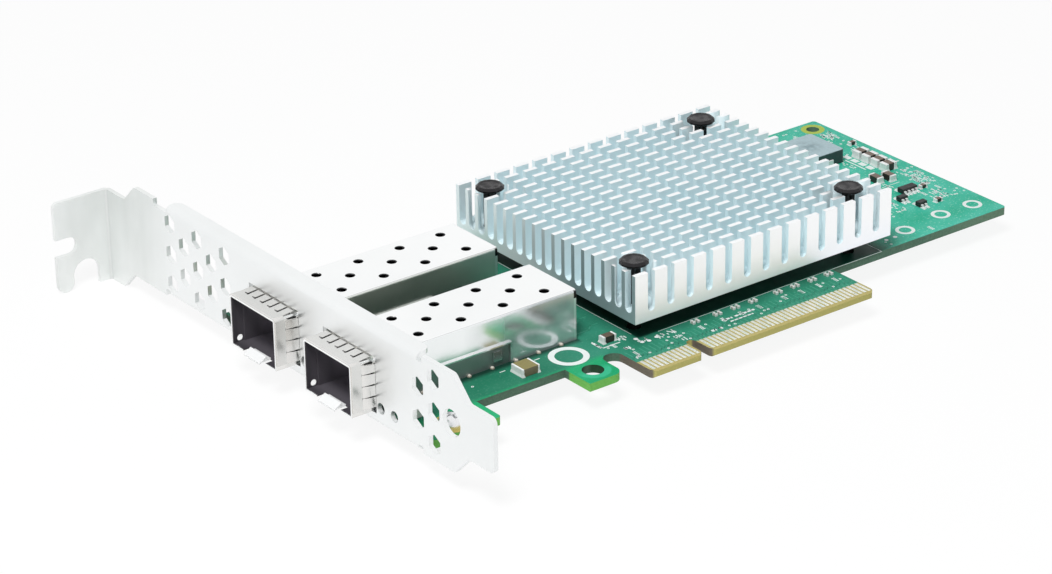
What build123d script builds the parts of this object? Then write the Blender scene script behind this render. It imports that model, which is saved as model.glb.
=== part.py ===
"""Network interface card: two pluggable-module ports, a cross-cut heat sink and a full-height bracket."""
import os
from itertools import product

from build123d import *

os.makedirs("parts", exist_ok=True)

# Frame: the origin is the middle of the key notch at the connector's end, on the component face.
# +X runs from the bracket to the rear of the card, +Y from the connector to the bracket's tab,
# and +Z out of the component face. All sizes are millimetres.

# Circuit board
board_thickness = 1.57
rear_margin = 31.0
board_top = 67.1
board_lower_edge = 11.9
board_front_gap = 0.5
board_corner = 0.7
foot_width = 14.3
foot_bottom = 3.0
recess_edge = 10.2
hook_width = 7.6
hook_bottom = 3.1
hook_corner = 2.0
hook_hole_radius = 2.0
hook_hole_rise = 4.0
notch_width = 3.9
notch_top = 10.3
corner_hole_radius = 1.3
corner_hole_inset = 3.2

# Edge connector
key_width = 1.9
key_depth = 5.5
connector_corner = 1.2
short_tongue = 11.65
long_tongue = 38.65
bevel_length = 0.4
bevel_depth = 0.25
finger_pitch = 1.0
finger_width = 0.6
finger_start = 0.5
finger_length = 3.9
finger_thickness = 0.05

# Bracket
key_to_bracket = 59.05
bracket_thickness = 0.86
bracket_length = 120.02
bend_radius = 0.4
tab_bend_radius = 0.6
face_width = 18.42
tab_underside = 104.27
tab_width = 18.42
tab_drop = 3.7
tab_depth = 11.5
tab_corner = 1.0
tab_leg_rounding = 0.48
shoulder_upper = 6.3
shoulder_lower = 4.6
outline_radius = 1.2
tongue_width = 10.19
tongue_length = 6.9
screw_slot_inset = 5.3
screw_slot_width = 5.6
screw_slot_depth = 5.6
outer_slot_width = 3.5
outer_slot_depth = 4.5
lip_foot = 0.73
lip_length = 77.9
lip_depth = 3.1
lip_relief = 1.4
lip_far_relief = 4.2
lip_corner = 1.6
vent_flats = 3.2
vent_column_pitch = 4.52
vent_row_pitch = 6.1
vent_height = 6.7
far_vent_column = 73.2
near_vent_column = 5.4
round_hole_radius = 2.5
round_hole_drop = 9.5

# Bracket screws and the ears they hold
screw_inset = 7.4
near_screw_rise = 3.2
far_screw_drop = 5.2
screw_shank_radius = 1.45
screw_head_radius = 2.5
screw_head_height = 1.9
screw_head_bevel = 0.5
screw_end = 0.4
screw_clearance = 0.1
ear_width = 6.2
ear_margin = 3.4
ear_corner = 1.5

# Port cages
first_port = 48.53
port_pitch = 23.08
port_count = 2
cage_width = 14.0
cage_height = 9.8
cage_length = 48.67
cage_protrusion = 4.63
cage_sheet = 0.3
cage_fit = 0.03
cage_bend = 0.55
skirt_height = 4.0
skirt_end = 34.0
skirt_ledge = 0.45
nose_length = 6.4
cage_vent_radius = 0.95
cage_vent_sides = 16
cage_vent_start = 16.5
cage_vent_end = 4.78
cage_vent_columns = 4
cage_vent_row_pitch = 3.95
tray_wall_height = 8.6
tray_wall_setback = 2.4
boss_size = 1.9
boss_place = 31.3
boss_height = 2.0
boss_proud = 0.25
peep_radius = 0.6
peep_place = 1.55
peep_height = 1.0
tail_width = 0.8
tail_reach = 1.1
tail_clearance = 0.1
tail_start = 15.0
tail_end = 3.57
tail_count = 7
latch_width = 5.0
latch_gap = 1.1
latch_back = 1.8
latch_reach = 0.5
latch_drop = 0.3
latch_run = 1.0
latch_rise = 0.9

# Spring collar between each cage and the bracket
collar_sheet = 0.25
collar_front = 4.5
collar_band = 2.0
collar_rise = 0.5
collar_rear = 0.7
collar_gap = 0.25
collar_side_foot = 0.9
collar_top_fingers = 6
collar_side_fingers = 4
collar_slot = 0.45

# Module sockets inside the cages
socket_length = 9.2
socket_width = 11.4
socket_height = 5.6
socket_rear_gap = 0.9
socket_edge = 0.6
socket_slot_width = 9.4
socket_slot_height = 1.5
socket_slot_rise = 2.2
socket_slot_depth = 6.0
contact_pitch = 0.8
contact_count = 10
contact_width = 0.35
contact_height = 0.25

# Link lights
led_offset = 9.1
led_pitch = 3.92
led_hole_radius = 1.05
led_height = 1.2
led_width = 2.0
led_body_height = 2.2
led_depth = 2.6
led_setback = 1.2
led_lens_radius = 0.8
led_lens_sides = 16
led_lens_length = 0.9

# Controller chip under the heat sink
chip_centre_y = 37.4
chip_size = 25.0
chip_height = 1.3
die_size = 16.0
die_height = 0.9
pad_size = 20.0
pad_thickness = 1.1

# Heat sink
sink_gap = 7.31
sink_length = 61.0
sink_width = 53.0
sink_height = 9.4
sink_base = 1.8
fin_rows = 19
fin_thickness = 0.95
fin_columns = 14
fin_length = 2.9
pin_pocket_radius = 3.5

# Push pins
pin_front_inset = 3.95
pin_rear_inset = 6.0
pin_side_inset = 5.25
pin_head_radius = 2.75
pin_head_height = 1.6
pin_head_bevel = 0.45
pin_head_proud = 0.6
pin_head_sides = 12
pin_slit = 0.6
pin_leg_thickness = 0.75
pin_leg_width = 1.3
pin_clearance = 0.15
pin_barb_step = 0.6
pin_barb_length = 2.0

# Power inductor
inductor_size = 10.0
inductor_height = 3.0
inductor_inset = 14.5
inductor_y = 52.5
inductor_corner = 0.6
inductor_lead_width = 4.0
inductor_lead_height = 1.4
inductor_lead_thickness = 0.3

# Chip capacitors: length, width, height, terminal length
front_cap = (3.8, 3.4, 1.55, 0.4)
row_cap = (2.9, 2.0, 1.5, 0.8)
medium_cap = (2.9, 1.5, 1.3, 0.45)
small_cap = (1.7, 0.85, 0.7, 0.35)
tiny_cap = (1.0, 0.5, 0.45, 0.25)
row_cap_inset = 5.0
row_cap_y = 43.6
row_cap_pitch = 2.65
row_cap_count = 4
front_cap_places = ((-29.9, 13.9),)
notch_cap_place = (-11.2, 14.4)
coupling_starts = (5.6, 10.8, 15.0, 19.2, 25.2, 29.3, 33.5, 37.5)
coupling_spread = 1.05
coupling_y = 10.3

# Parts at the rear of the board: inset from the rear edge, then height up the board
filter_cap_spots = ((11.1, 36.5), (8.4, 35.8))
small_cap_spots = ((6.1, 28.6), (8.3, 22.0), (2.3, 53.2))
memory_spots = ((9.5, 29.3),)
regulator_spots = ((13.4, 26.6), (12.2, 22.5))

# Eight-lead memory chip and four-lead regulators
memory_body = (3.8, 1.6, 0.9)
memory_pitch = 0.95
memory_leads_per_side = 4
regulator_body = (2.0, 1.2, 0.9)
regulator_pitch = 0.95
regulator_leads_per_side = 2
lead_width = 0.42
lead_thickness = 0.2
lead_reach = 1.05
lead_foot = 0.6
body_standoff = 0.15

# Worked-out places
bracket_outer = -key_to_bracket
bracket_inner = bracket_outer + bracket_thickness
bend_outer = bend_radius + bracket_thickness
face_bottom = -board_thickness - bracket_thickness
face_top = face_bottom + face_width
face_middle = (face_bottom + face_top) / 2
tab_bottom = face_bottom - tab_drop
tab_top = tab_bottom + tab_width
tongue_tip = tab_underside - bracket_length
taper = (face_width - tongue_width) / 2
board_front = bracket_inner + board_front_gap
foot_right = board_front + foot_width
connector_left = -key_width / 2 - short_tongue
connector_right = key_width / 2 + long_tongue
hook_right = connector_left - notch_width
hook_left = hook_right - hook_width
hook_hole = ((hook_left + hook_right) / 2, hook_bottom + hook_hole_rise)
screw_x = bracket_outer + screw_inset
screw_places = ((screw_x, foot_bottom + near_screw_rise), (screw_x, board_top - far_screw_drop))
screw_hole_radius = screw_shank_radius + screw_clearance
lip_low_end = foot_bottom + near_screw_rise - lip_foot
lip_top_end = lip_low_end + lip_length
tab_leg_width = tab_depth - screw_slot_inset - screw_slot_width / 2
port_centres = [first_port - index * port_pitch for index in range(port_count)]
cage_front = bracket_outer - cage_protrusion
cage_rear = cage_front + cage_length
tray_width = cage_width - 2 * cage_sheet - 2 * cage_fit
tail_offset = (tray_width - cage_sheet) / 2
tail_pitch = (cage_length - tail_start - tail_end) / (tail_count - 1)
tail_xs = [cage_front + tail_start + index * tail_pitch for index in range(tail_count)]
cage_vent_pitch = (cage_length - cage_vent_start - cage_vent_end) / (cage_vent_columns - 1)
socket_rear = cage_rear - cage_sheet - socket_rear_gap
socket_front = socket_rear - socket_length
led_ys = [
    centre - led_offset - index * led_pitch
    for centre in port_centres
    for index in range(2)
]
sink_front = cage_rear + sink_gap
sink_rear = sink_front + sink_length
chip_centre_x = (sink_front + sink_rear) / 2
sink_bottom = chip_height + die_height + pad_thickness
sink_top = sink_bottom + sink_height
fin_pitch = (sink_width - fin_thickness) / (fin_rows - 1)
column_pitch = (sink_length - fin_length) / (fin_columns - 1)
pin_leg_outer = pin_slit / 2 + pin_leg_thickness
pin_hole_radius = (pin_leg_outer**2 + (pin_leg_width / 2) ** 2) ** 0.5 + pin_clearance
pin_offset_y = sink_width / 2 - pin_side_inset
pin_places = [
    (x, chip_centre_y + side * pin_offset_y)
    for x in (sink_front + pin_front_inset, sink_rear - pin_rear_inset)
    for side in (-1, 1)
]
board_rear = sink_rear + rear_margin
corner_hole = (board_rear - corner_hole_inset, board_top - corner_hole_inset)
inductor_x = board_rear - inductor_inset


# Circuit board with its hook, notch, keyed connector and holes
with BuildPart() as circuit_board:
    with BuildSketch() as board_plan:
        with BuildLine():
            Polyline(
                (board_front, board_top),
                (board_front, foot_bottom),
                (foot_right, foot_bottom),
                (foot_right, recess_edge),
                (hook_left, recess_edge),
                (hook_left, hook_bottom),
                (connector_left, hook_bottom),
                (connector_left, 0),
                (connector_right, 0),
                (connector_right, board_lower_edge),
                (board_rear, board_lower_edge),
                (board_rear, board_top),
                close=True,
            )
        make_face()
        with Locations(((hook_right + connector_left) / 2, 0)):
            SlotOverall(2 * notch_top, notch_width, rotation=90, mode=Mode.SUBTRACT)
        with Locations((0, 0)):
            SlotOverall(2 * key_depth, key_width, rotation=90, mode=Mode.SUBTRACT)
        rounded_corners = (
            (board_front, foot_bottom),
            (foot_right, foot_bottom),
            (board_rear, board_lower_edge),
            (board_rear, board_top),
        )
        end_corners = [(x, 0) for x in (connector_left, -key_width / 2, key_width / 2, connector_right)]
        fillet([board_plan.vertices().sort_by_distance(place)[0] for place in rounded_corners], board_corner)
        fillet([board_plan.vertices().sort_by_distance(place)[0] for place in end_corners], connector_corner)
        fillet(board_plan.vertices().sort_by_distance((hook_right, hook_bottom))[0], hook_corner)
        with Locations(hook_hole):
            Circle(hook_hole_radius, mode=Mode.SUBTRACT)
        with Locations(corner_hole):
            Circle(corner_hole_radius, mode=Mode.SUBTRACT)
        with Locations(*screw_places):
            Circle(screw_hole_radius, mode=Mode.SUBTRACT)
        with Locations(*pin_places):
            Circle(pin_hole_radius, mode=Mode.SUBTRACT)
        tail_places = [
            (x, centre + side * tail_offset)
            for x in tail_xs
            for centre in port_centres
            for side in (-1, 1)
        ]
        with Locations(*tail_places):
            Rectangle(tail_width + 2 * tail_clearance, cage_sheet + 2 * tail_clearance, mode=Mode.SUBTRACT)
    extrude(amount=-board_thickness)
    # Lead-in bevel on both faces of the connector's end
    with BuildSketch(Plane.YZ.offset(connector_left)):
        with BuildLine():
            Polyline((0, 0), (bevel_length, 0), (0, -bevel_depth), close=True)
        make_face()
        mirror(about=Plane.XZ.offset(board_thickness / 2))
    extrude(amount=connector_right - connector_left, mode=Mode.SUBTRACT)
circuit_board.part.label = "circuit_board"
export_step(circuit_board.part, "parts/circuit_board.step")


# Gold contact fingers on one face of the board
def contact_fingers(height, thickness):
    with BuildPart() as fingers:
        with BuildSketch(Plane.XY.offset(height)):
            for side, length in ((-1, short_tongue), (1, long_tongue)):
                with Locations((side * (key_width + length) / 2, finger_start + finger_length / 2)):
                    with GridLocations(finger_pitch, finger_length, int(length / finger_pitch), 1):
                        Rectangle(finger_width, finger_length)
        extrude(amount=thickness)
    return fingers


gold_fingers_front = contact_fingers(0, finger_thickness)
gold_fingers_front.part.label = "gold_fingers_front"
export_step(gold_fingers_front.part, "parts/gold_fingers_front.step")
gold_fingers_back = contact_fingers(-board_thickness, -finger_thickness)
gold_fingers_back.part.label = "gold_fingers_back"
export_step(gold_fingers_back.part, "parts/gold_fingers_back.step")


# Folded steel bracket: face, offset tab, tongue, two lips and two screw ears
with BuildPart() as bracket:
    with BuildSketch(Plane.XY.offset(tab_bottom)):
        bend_centre = (bracket_outer - tab_bend_radius, tab_underside - tab_bend_radius)
        tab_edge = bracket_outer - tab_depth
        tab_upper = tab_underside + bracket_thickness
        with BuildLine():
            CenterArc(bend_centre, tab_bend_radius, 0, 90)
            CenterArc(bend_centre, tab_bend_radius + bracket_thickness, 0, 90)
            Polyline(
                (bend_centre[0], tab_underside),
                (tab_edge, tab_underside),
                (tab_edge, tab_upper),
                (bend_centre[0], tab_upper),
            )
            Polyline(
                (bracket_outer, bend_centre[1]),
                (bracket_outer, tongue_tip),
                (bracket_inner, tongue_tip),
                (bracket_inner, bend_centre[1]),
            )
        make_face()
    extrude(amount=face_top - tab_bottom)
    # Outline of the face and tab, seen from outside the case
    with BuildSketch(Plane.YZ.offset(bracket_inner)) as outline:
        above_tab = tab_underside + tab_depth
        with BuildLine():
            Polyline(
                (above_tab, tab_bottom),
                (tab_underside - shoulder_lower, tab_bottom),
                (tab_underside - shoulder_lower - tab_drop, face_bottom),
                (tongue_tip + tongue_length + taper, face_bottom),
                (tongue_tip + tongue_length, face_middle - tongue_width / 2),
                (tongue_tip, face_middle - tongue_width / 2),
                (tongue_tip, face_middle + tongue_width / 2),
                (tongue_tip + tongue_length, face_middle + tongue_width / 2),
                (tongue_tip + tongue_length + taper, face_top),
                (tab_underside - shoulder_upper - (face_top - tab_top), face_top),
                (tab_underside - shoulder_upper, tab_top),
                (above_tab, tab_top),
                close=True,
            )
        make_face()
        fillet(outline.vertices(), outline_radius)
    extrude(amount=-bracket_thickness - tab_depth, mode=Mode.INTERSECT)
    leg_corner = tab_leg_rounding * tab_leg_width
    fillet(bracket.edges().filter_by(Axis.Y).group_by(Axis.X)[0].sort_by(Axis.Z)[0], leg_corner)
    fillet(bracket.edges().filter_by(Axis.Y).group_by(Axis.X)[0].sort_by(Axis.Z)[-1], tab_corner)
    # Screw slot at the tab's lower edge and locating slot at its outer edge
    with BuildSketch(Plane.XZ.offset(-tab_underside)):
        with Locations((bracket_outer - screw_slot_inset, tab_bottom)):
            SlotOverall(2 * screw_slot_depth, screw_slot_width, rotation=90)
        with Locations((tab_edge, (tab_bottom + tab_top) / 2)):
            SlotOverall(2 * outer_slot_depth, outer_slot_width)
    extrude(amount=2 * bracket_thickness, both=True, mode=Mode.SUBTRACT)
    leg_tip = (tab_edge + tab_leg_width, tab_upper, tab_bottom)
    fillet(bracket.edges().filter_by(Axis.Y).sort_by_distance(leg_tip)[0], leg_corner)
    # Edge of the face cleared for the lips and their relief notches
    with BuildSketch(Plane.YZ.offset(bracket_outer)):
        for edge, far_relief in ((face_top, lip_far_relief), (face_bottom, lip_relief)):
            cleared_length = lip_length + lip_relief + far_relief
            with Locations((lip_low_end - lip_relief + cleared_length / 2, edge)):
                Rectangle(cleared_length, 2 * bend_outer)
    extrude(amount=bracket_thickness, mode=Mode.SUBTRACT)
    with BuildSketch(Plane.XZ.offset(-lip_top_end)):
        lip_bend_x = bracket_outer + bend_outer
        lip_edge_x = bracket_outer + lip_depth
        for edge, inward in ((face_top, -1), (face_bottom, 1)):
            lip_bend = (lip_bend_x, edge + inward * bend_outer)
            inner_edge = edge + inward * bracket_thickness
            with BuildLine():
                CenterArc(lip_bend, bend_outer, -90 * inward, -90 * inward)
                CenterArc(lip_bend, bend_radius, -90 * inward, -90 * inward)
                Line((bracket_outer, lip_bend[1]), (bracket_inner, lip_bend[1]))
                Polyline(
                    (lip_bend_x, edge),
                    (lip_edge_x, edge),
                    (lip_edge_x, inner_edge),
                    (lip_bend_x, inner_edge),
                )
            make_face()
    extrude(amount=lip_length)
    lip_edges = bracket.edges().filter_by(Axis.Z).group_by(Axis.X)[-1]
    fillet(lip_edges, lip_corner)
    # Ears under the board, with screw holes
    with BuildSketch(Plane.XY.offset(face_bottom)):
        ear_end = screw_x + ear_margin
        ear_start = bracket_outer + bend_outer
        for place in screw_places:
            with Locations(((ear_start + ear_end) / 2, place[1])):
                RectangleRounded(ear_end - ear_start, ear_width, ear_corner)
            with Locations((ear_start + ear_corner, place[1])):
                Rectangle(2 * ear_corner, ear_width)
    extrude(amount=bracket_thickness)
    with BuildSketch(Plane.XY.offset(face_bottom)):
        with Locations(*screw_places):
            Circle(screw_hole_radius)
    extrude(amount=bracket_thickness, mode=Mode.SUBTRACT)
    # Port openings, light holes, vents and the round hole near the tongue
    with BuildSketch(Plane.YZ.offset(bracket_outer)):
        opening_side = collar_rise + collar_gap
        opening_top = cage_height + opening_side
        for centre in port_centres:
            with Locations((centre, (opening_top - collar_gap) / 2)):
                Rectangle(cage_width + 2 * opening_side, opening_top + collar_gap)
        with Locations(*[(y, led_height) for y in led_ys]):
            Circle(led_hole_radius)
        with Locations((far_vent_column, vent_height)):
            with GridLocations(2 * vent_column_pitch, vent_row_pitch, 3, 3):
                RegularPolygon(vent_flats / 2, 6, major_radius=False, rotation=30)
            with GridLocations(2 * vent_column_pitch, vent_row_pitch, 2, 2):
                RegularPolygon(vent_flats / 2, 6, major_radius=False, rotation=30)
        with Locations((near_vent_column, vent_height)):
            with GridLocations(vent_column_pitch, vent_row_pitch, 1, 2):
                RegularPolygon(vent_flats / 2, 6, major_radius=False, rotation=30)
        with Locations((near_vent_column - vent_column_pitch, vent_height)):
            with GridLocations(vent_column_pitch, vent_row_pitch, 1, 3):
                RegularPolygon(vent_flats / 2, 6, major_radius=False, rotation=30)
        with Locations((near_vent_column - round_hole_drop, vent_height)):
            Circle(round_hole_radius)
    extrude(amount=bracket_thickness, mode=Mode.SUBTRACT)
bracket.part.label = "bracket"
export_step(bracket.part, "parts/bracket.step")


# Pan-head screws that hold the board on the bracket's ears
with BuildPart() as bracket_screws:
    with BuildSketch(Plane.XY.offset(face_bottom - screw_end)):
        with Locations(*screw_places):
            Circle(screw_shank_radius)
    extrude(amount=screw_end - face_bottom)
    with BuildSketch():
        with Locations(*screw_places):
            Circle(screw_head_radius)
    extrude(amount=screw_head_height)
    chamfer(bracket_screws.edges().group_by(Axis.Z)[-1], screw_head_bevel)
bracket_screws.part.label = "bracket_screws"
export_step(bracket_screws.part, "parts/bracket_screws.step")


# Upper half of a port cage: vented top, side skirts, full-height nose and rear wall
def cage_shell(centre):
    with BuildPart() as shell:
        with BuildSketch(Plane.YZ.offset(cage_front)):
            with Locations((centre, cage_height / 2)):
                Rectangle(cage_width, cage_height)
                Rectangle(cage_width - 2 * cage_sheet, cage_height, mode=Mode.SUBTRACT)
            with Locations((centre, cage_height - cage_sheet / 2)):
                Rectangle(cage_width, cage_sheet)
        extrude(amount=cage_length)
        with BuildSketch(Plane.YZ.offset(cage_rear)):
            with Locations((centre, (skirt_height + cage_height) / 2)):
                Rectangle(cage_width, cage_height - skirt_height)
        extrude(amount=-cage_sheet)
        fillet(shell.edges().filter_by(Axis.X).group_by(Axis.Z)[-2], cage_bend - cage_sheet)
        fillet(shell.edges().filter_by(Axis.X).group_by(Axis.Z)[-1], cage_bend)
        # Skirts cut short behind the nose, with a turned-out ledge along the cut
        skirt_middle = cage_front + (nose_length + skirt_end) / 2
        with BuildSketch(Plane.XZ.offset(-centre)):
            with Locations((skirt_middle, skirt_height / 2)):
                Rectangle(skirt_end - nose_length, skirt_height)
        extrude(amount=cage_width, both=True, mode=Mode.SUBTRACT)
        with BuildSketch(Plane.XY.offset(skirt_height)):
            for side in (-1, 1):
                with Locations((skirt_middle, centre + side * (cage_width + skirt_ledge) / 2)):
                    Rectangle(skirt_end - nose_length, skirt_ledge)
        extrude(amount=cage_sheet)
        # Staggered vent holes in the top
        with BuildSketch(Plane.XY.offset(cage_height)):
            vent_middle = cage_front + cage_vent_start + cage_vent_pitch * (cage_vent_columns - 1) / 2
            with Locations((vent_middle, centre)):
                with GridLocations(cage_vent_pitch, 2 * cage_vent_row_pitch, cage_vent_columns, 2):
                    RegularPolygon(cage_vent_radius, cage_vent_sides)
                with GridLocations(cage_vent_pitch, cage_vent_row_pitch, cage_vent_columns - 1, 1):
                    RegularPolygon(cage_vent_radius, cage_vent_sides)
        extrude(amount=-cage_sheet, mode=Mode.SUBTRACT)
        with BuildSketch(Plane.XZ.offset(-centre)):
            with Locations((cage_front + peep_place, peep_height)):
                Circle(peep_radius)
        extrude(amount=-cage_width, mode=Mode.SUBTRACT)
    return shell


# Lower half of a port cage: floor, inner side walls, latch tongue, side bosses and solder tails
def cage_tray(centre):
    floor_end = socket_front - cage_sheet
    with BuildPart() as tray:
        with BuildSketch(Plane.YZ.offset(cage_front + tray_wall_setback)):
            for side in (-1, 1):
                with Locations((centre + side * tail_offset, tray_wall_height / 2)):
                    Rectangle(cage_sheet, tray_wall_height)
        extrude(amount=cage_length - tray_wall_setback - cage_sheet - cage_fit)
        with BuildSketch():
            with Locations(((cage_front + floor_end) / 2, centre)):
                Rectangle(floor_end - cage_front, tray_width)
            # Gaps that free the latch tongue
            for side in (-1, 1):
                with Locations((cage_front, centre + side * (latch_width + latch_gap) / 2)):
                    Rectangle(2 * latch_back, latch_gap, mode=Mode.SUBTRACT)
        extrude(amount=cage_sheet)
        # Ramp of the latch tongue, from below the mouth up into the port
        with BuildSketch(Plane.XZ.offset(latch_width / 2 - centre)):
            with BuildLine():
                Polyline(
                    (cage_front + latch_run, latch_rise),
                    (cage_front - latch_reach, cage_sheet - latch_drop),
                    (cage_front - latch_reach, -latch_drop),
                    (cage_front, 0),
                    (cage_front + latch_run, 0),
                    close=True,
                )
            make_face()
        extrude(amount=-latch_width)
        for side in (-1, 1):
            with BuildSketch(Plane.XZ.offset(-centre - side * tray_width / 2)):
                with Locations((cage_front + boss_place, boss_height)):
                    Rectangle(boss_size, boss_size)
            extrude(amount=-side * boss_proud)
        with BuildSketch():
            for side in (-1, 1):
                with Locations(*[(x, centre + side * tail_offset) for x in tail_xs]):
                    Rectangle(tail_width, cage_sheet)
        extrude(amount=-board_thickness - tail_reach)
    return tray


# Spring collar: a band round the cage with a row of sprung fingers on the top and both sides
def emi_collar(centre):
    band_front = bracket_outer - collar_front
    band_end = band_front + collar_band
    finger_end = bracket_inner + collar_rear
    finger_middle = (band_end + finger_end) / 2
    finger_reach = finger_end - band_end
    half = cage_width / 2
    side_height = cage_height - collar_side_foot
    top_finger_pitch = cage_width / collar_top_fingers
    side_finger_pitch = side_height / collar_side_fingers
    finger_profile = (
        (band_end, 0),
        (band_end, collar_sheet),
        (bracket_outer, collar_rise),
        (bracket_inner, collar_rise),
        (finger_end, collar_sheet),
        (finger_end, 0),
    )
    with BuildPart() as collar:
        with BuildSketch(Plane.YZ.offset(band_front)):
            with Locations((centre, collar_side_foot + (side_height + collar_sheet) / 2)):
                Rectangle(cage_width + 2 * collar_sheet, side_height + collar_sheet)
            with Locations((centre, collar_side_foot + side_height / 2)):
                Rectangle(cage_width, side_height, mode=Mode.SUBTRACT)
        extrude(amount=collar_band)
        fillet(collar.edges().filter_by(Axis.X).group_by(Axis.Z)[-2], cage_bend)
        fillet(collar.edges().filter_by(Axis.X).group_by(Axis.Z)[-1], cage_bend + collar_sheet)
        with BuildSketch(Plane.XZ.offset(-centre)):
            with BuildLine():
                Polyline(*[(x, cage_height + rise) for x, rise in finger_profile], close=True)
            make_face()
        extrude(amount=half - collar_slot, both=True)
        for side in (-1, 1):
            side_profile = [(x, centre + side * (half + rise)) for x, rise in finger_profile]
            with BuildSketch(Plane.XY.offset(collar_side_foot)):
                with BuildLine():
                    Polyline(*side_profile, close=True)
                make_face()
            extrude(amount=side_height - collar_slot)
        # Slots between the fingers
        with BuildSketch(Plane.XY.offset(cage_height)):
            with Locations((finger_middle, centre)):
                with GridLocations(finger_reach, top_finger_pitch, 1, collar_top_fingers - 1):
                    Rectangle(finger_reach, collar_slot)
        extrude(amount=collar_rise, mode=Mode.SUBTRACT)
        with BuildSketch(Plane.XZ.offset(-centre)):
            with Locations((finger_middle, collar_side_foot + side_height / 2)):
                with GridLocations(finger_reach, side_finger_pitch, 1, collar_side_fingers - 1):
                    Rectangle(finger_reach, collar_slot)
        extrude(amount=half + collar_rise, both=True, mode=Mode.SUBTRACT)
        with BuildSketch(Plane.XZ.offset(-centre)):
            with Locations((cage_front + peep_place, peep_height)):
                Circle(peep_radius)
        extrude(amount=-cage_width, mode=Mode.SUBTRACT)
    return collar


# Black socket at the back of a cage, with a slot for the module's edge
def port_socket(centre):
    with BuildPart() as socket:
        with BuildSketch(Plane.YZ.offset(socket_rear)):
            with Locations((centre, socket_height / 2)):
                Rectangle(socket_width, socket_height)
        extrude(amount=-socket_length)
        fillet(socket.edges().filter_by(Axis.X).group_by(Axis.Z)[-1], socket_edge)
        with BuildSketch(Plane.YZ.offset(socket_front)):
            with Locations((centre, socket_slot_rise + socket_slot_height / 2)):
                Rectangle(socket_slot_width, socket_slot_height)
        extrude(amount=socket_slot_depth, mode=Mode.SUBTRACT)
    return socket


# Sprung contacts above and below the slot of a socket
def socket_contacts(centre):
    with BuildPart() as contacts:
        slot_top = socket_slot_rise + socket_slot_height
        for level, direction in ((socket_slot_rise, 1), (slot_top, -1)):
            with BuildSketch(Plane.XY.offset(level)):
                with Locations((socket_front + socket_slot_depth / 2, centre)):
                    with GridLocations(socket_slot_depth, contact_pitch, 1, contact_count):
                        Rectangle(socket_slot_depth, contact_width)
            extrude(amount=direction * contact_height)
    return contacts


port_pieces = {
    "cage_shell": cage_shell,
    "cage_tray": cage_tray,
    "emi_collar": emi_collar,
    "port_socket": port_socket,
    "socket_contacts": socket_contacts,
}
for number, port_centre in enumerate(port_centres, 1):
    for piece_name, make_piece in port_pieces.items():
        piece = make_piece(port_centre)
        piece.part.label = f"{piece_name}_{number}"
        export_step(piece.part, f"parts/{piece_name}_{number}.step")


# Link lights: white right-angle bodies and their clear lenses
with BuildPart() as led_bodies:
    with BuildSketch():
        led_front = board_front + led_setback
        with Locations(*[(led_front + led_depth / 2, y) for y in led_ys]):
            Rectangle(led_depth, led_width)
    extrude(amount=led_body_height)
led_bodies.part.label = "led_bodies"
export_step(led_bodies.part, "parts/led_bodies.step")

with BuildPart() as led_lenses:
    with BuildSketch(Plane.YZ.offset(led_front)):
        with Locations(*[(y, led_height) for y in led_ys]):
            RegularPolygon(led_lens_radius, led_lens_sides)
    extrude(amount=-led_lens_length)
led_lenses.part.label = "led_lenses"
export_step(led_lenses.part, "parts/led_lenses.step")


# Controller chip: carrier, die and thermal pad stacked under the heat sink
def chip_layer(level, size, height):
    with BuildPart() as layer:
        with BuildSketch(Plane.XY.offset(level)):
            with Locations((chip_centre_x, chip_centre_y)):
                Rectangle(size, size)
        extrude(amount=height)
    return layer


chip_carrier = chip_layer(0, chip_size, chip_height)
chip_carrier.part.label = "chip_carrier"
export_step(chip_carrier.part, "parts/chip_carrier.step")
chip_die = chip_layer(chip_height, die_size, die_height)
chip_die.part.label = "chip_die"
export_step(chip_die.part, "parts/chip_die.step")
thermal_pad = chip_layer(chip_height + die_height, pad_size, pad_thickness)
thermal_pad.part.label = "thermal_pad"
export_step(thermal_pad.part, "parts/thermal_pad.step")


# Heat sink: a plate with a field of cross-cut fins, cleared round the push pins
with BuildPart() as heat_sink:
    with BuildSketch(Plane.XY.offset(sink_bottom)):
        with Locations((chip_centre_x, chip_centre_y)):
            Rectangle(sink_length, sink_width)
        with Locations(*pin_places):
            Circle(pin_hole_radius, mode=Mode.SUBTRACT)
    extrude(amount=sink_base)
    with BuildSketch(Plane.XY.offset(sink_bottom + sink_base)):
        with Locations((chip_centre_x, chip_centre_y)):
            with GridLocations(column_pitch, fin_pitch, fin_columns, fin_rows):
                Rectangle(fin_length, fin_thickness)
        with Locations(*pin_places):
            Circle(pin_pocket_radius, mode=Mode.SUBTRACT)
    extrude(amount=sink_height - sink_base)
heat_sink.part.label = "heat_sink"
export_step(heat_sink.part, "parts/heat_sink.step")


# Push pins: faceted heads on split legs that snap through the sink and the board
with BuildPart() as push_pins:
    head_top = sink_top + pin_head_proud
    head_bottom = head_top - pin_head_height
    barb_end = -board_thickness - pin_barb_length
    with BuildSketch(Plane.XY.offset(head_bottom)):
        with Locations(*pin_places):
            RegularPolygon(pin_head_radius, pin_head_sides)
    extrude(amount=pin_head_height)
    chamfer(push_pins.edges().group_by(Axis.Z)[-1], pin_head_bevel)
    for pin_x, pin_y in pin_places:
        with BuildSketch(Plane.XZ.offset(-pin_y)):
            for side in (-1, 1):
                leg_profile = (
                    (pin_slit / 2, head_bottom),
                    (pin_leg_outer, head_bottom),
                    (pin_leg_outer, -board_thickness),
                    (pin_leg_outer + pin_barb_step, -board_thickness),
                    (pin_leg_outer, barb_end),
                    (pin_slit / 2, barb_end),
                )
                with BuildLine():
                    Polyline(*[(pin_x + side * x, z) for x, z in leg_profile], close=True)
                make_face()
        extrude(amount=pin_leg_width / 2, both=True)
push_pins.part.label = "push_pins"
export_step(push_pins.part, "parts/push_pins.step")


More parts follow.
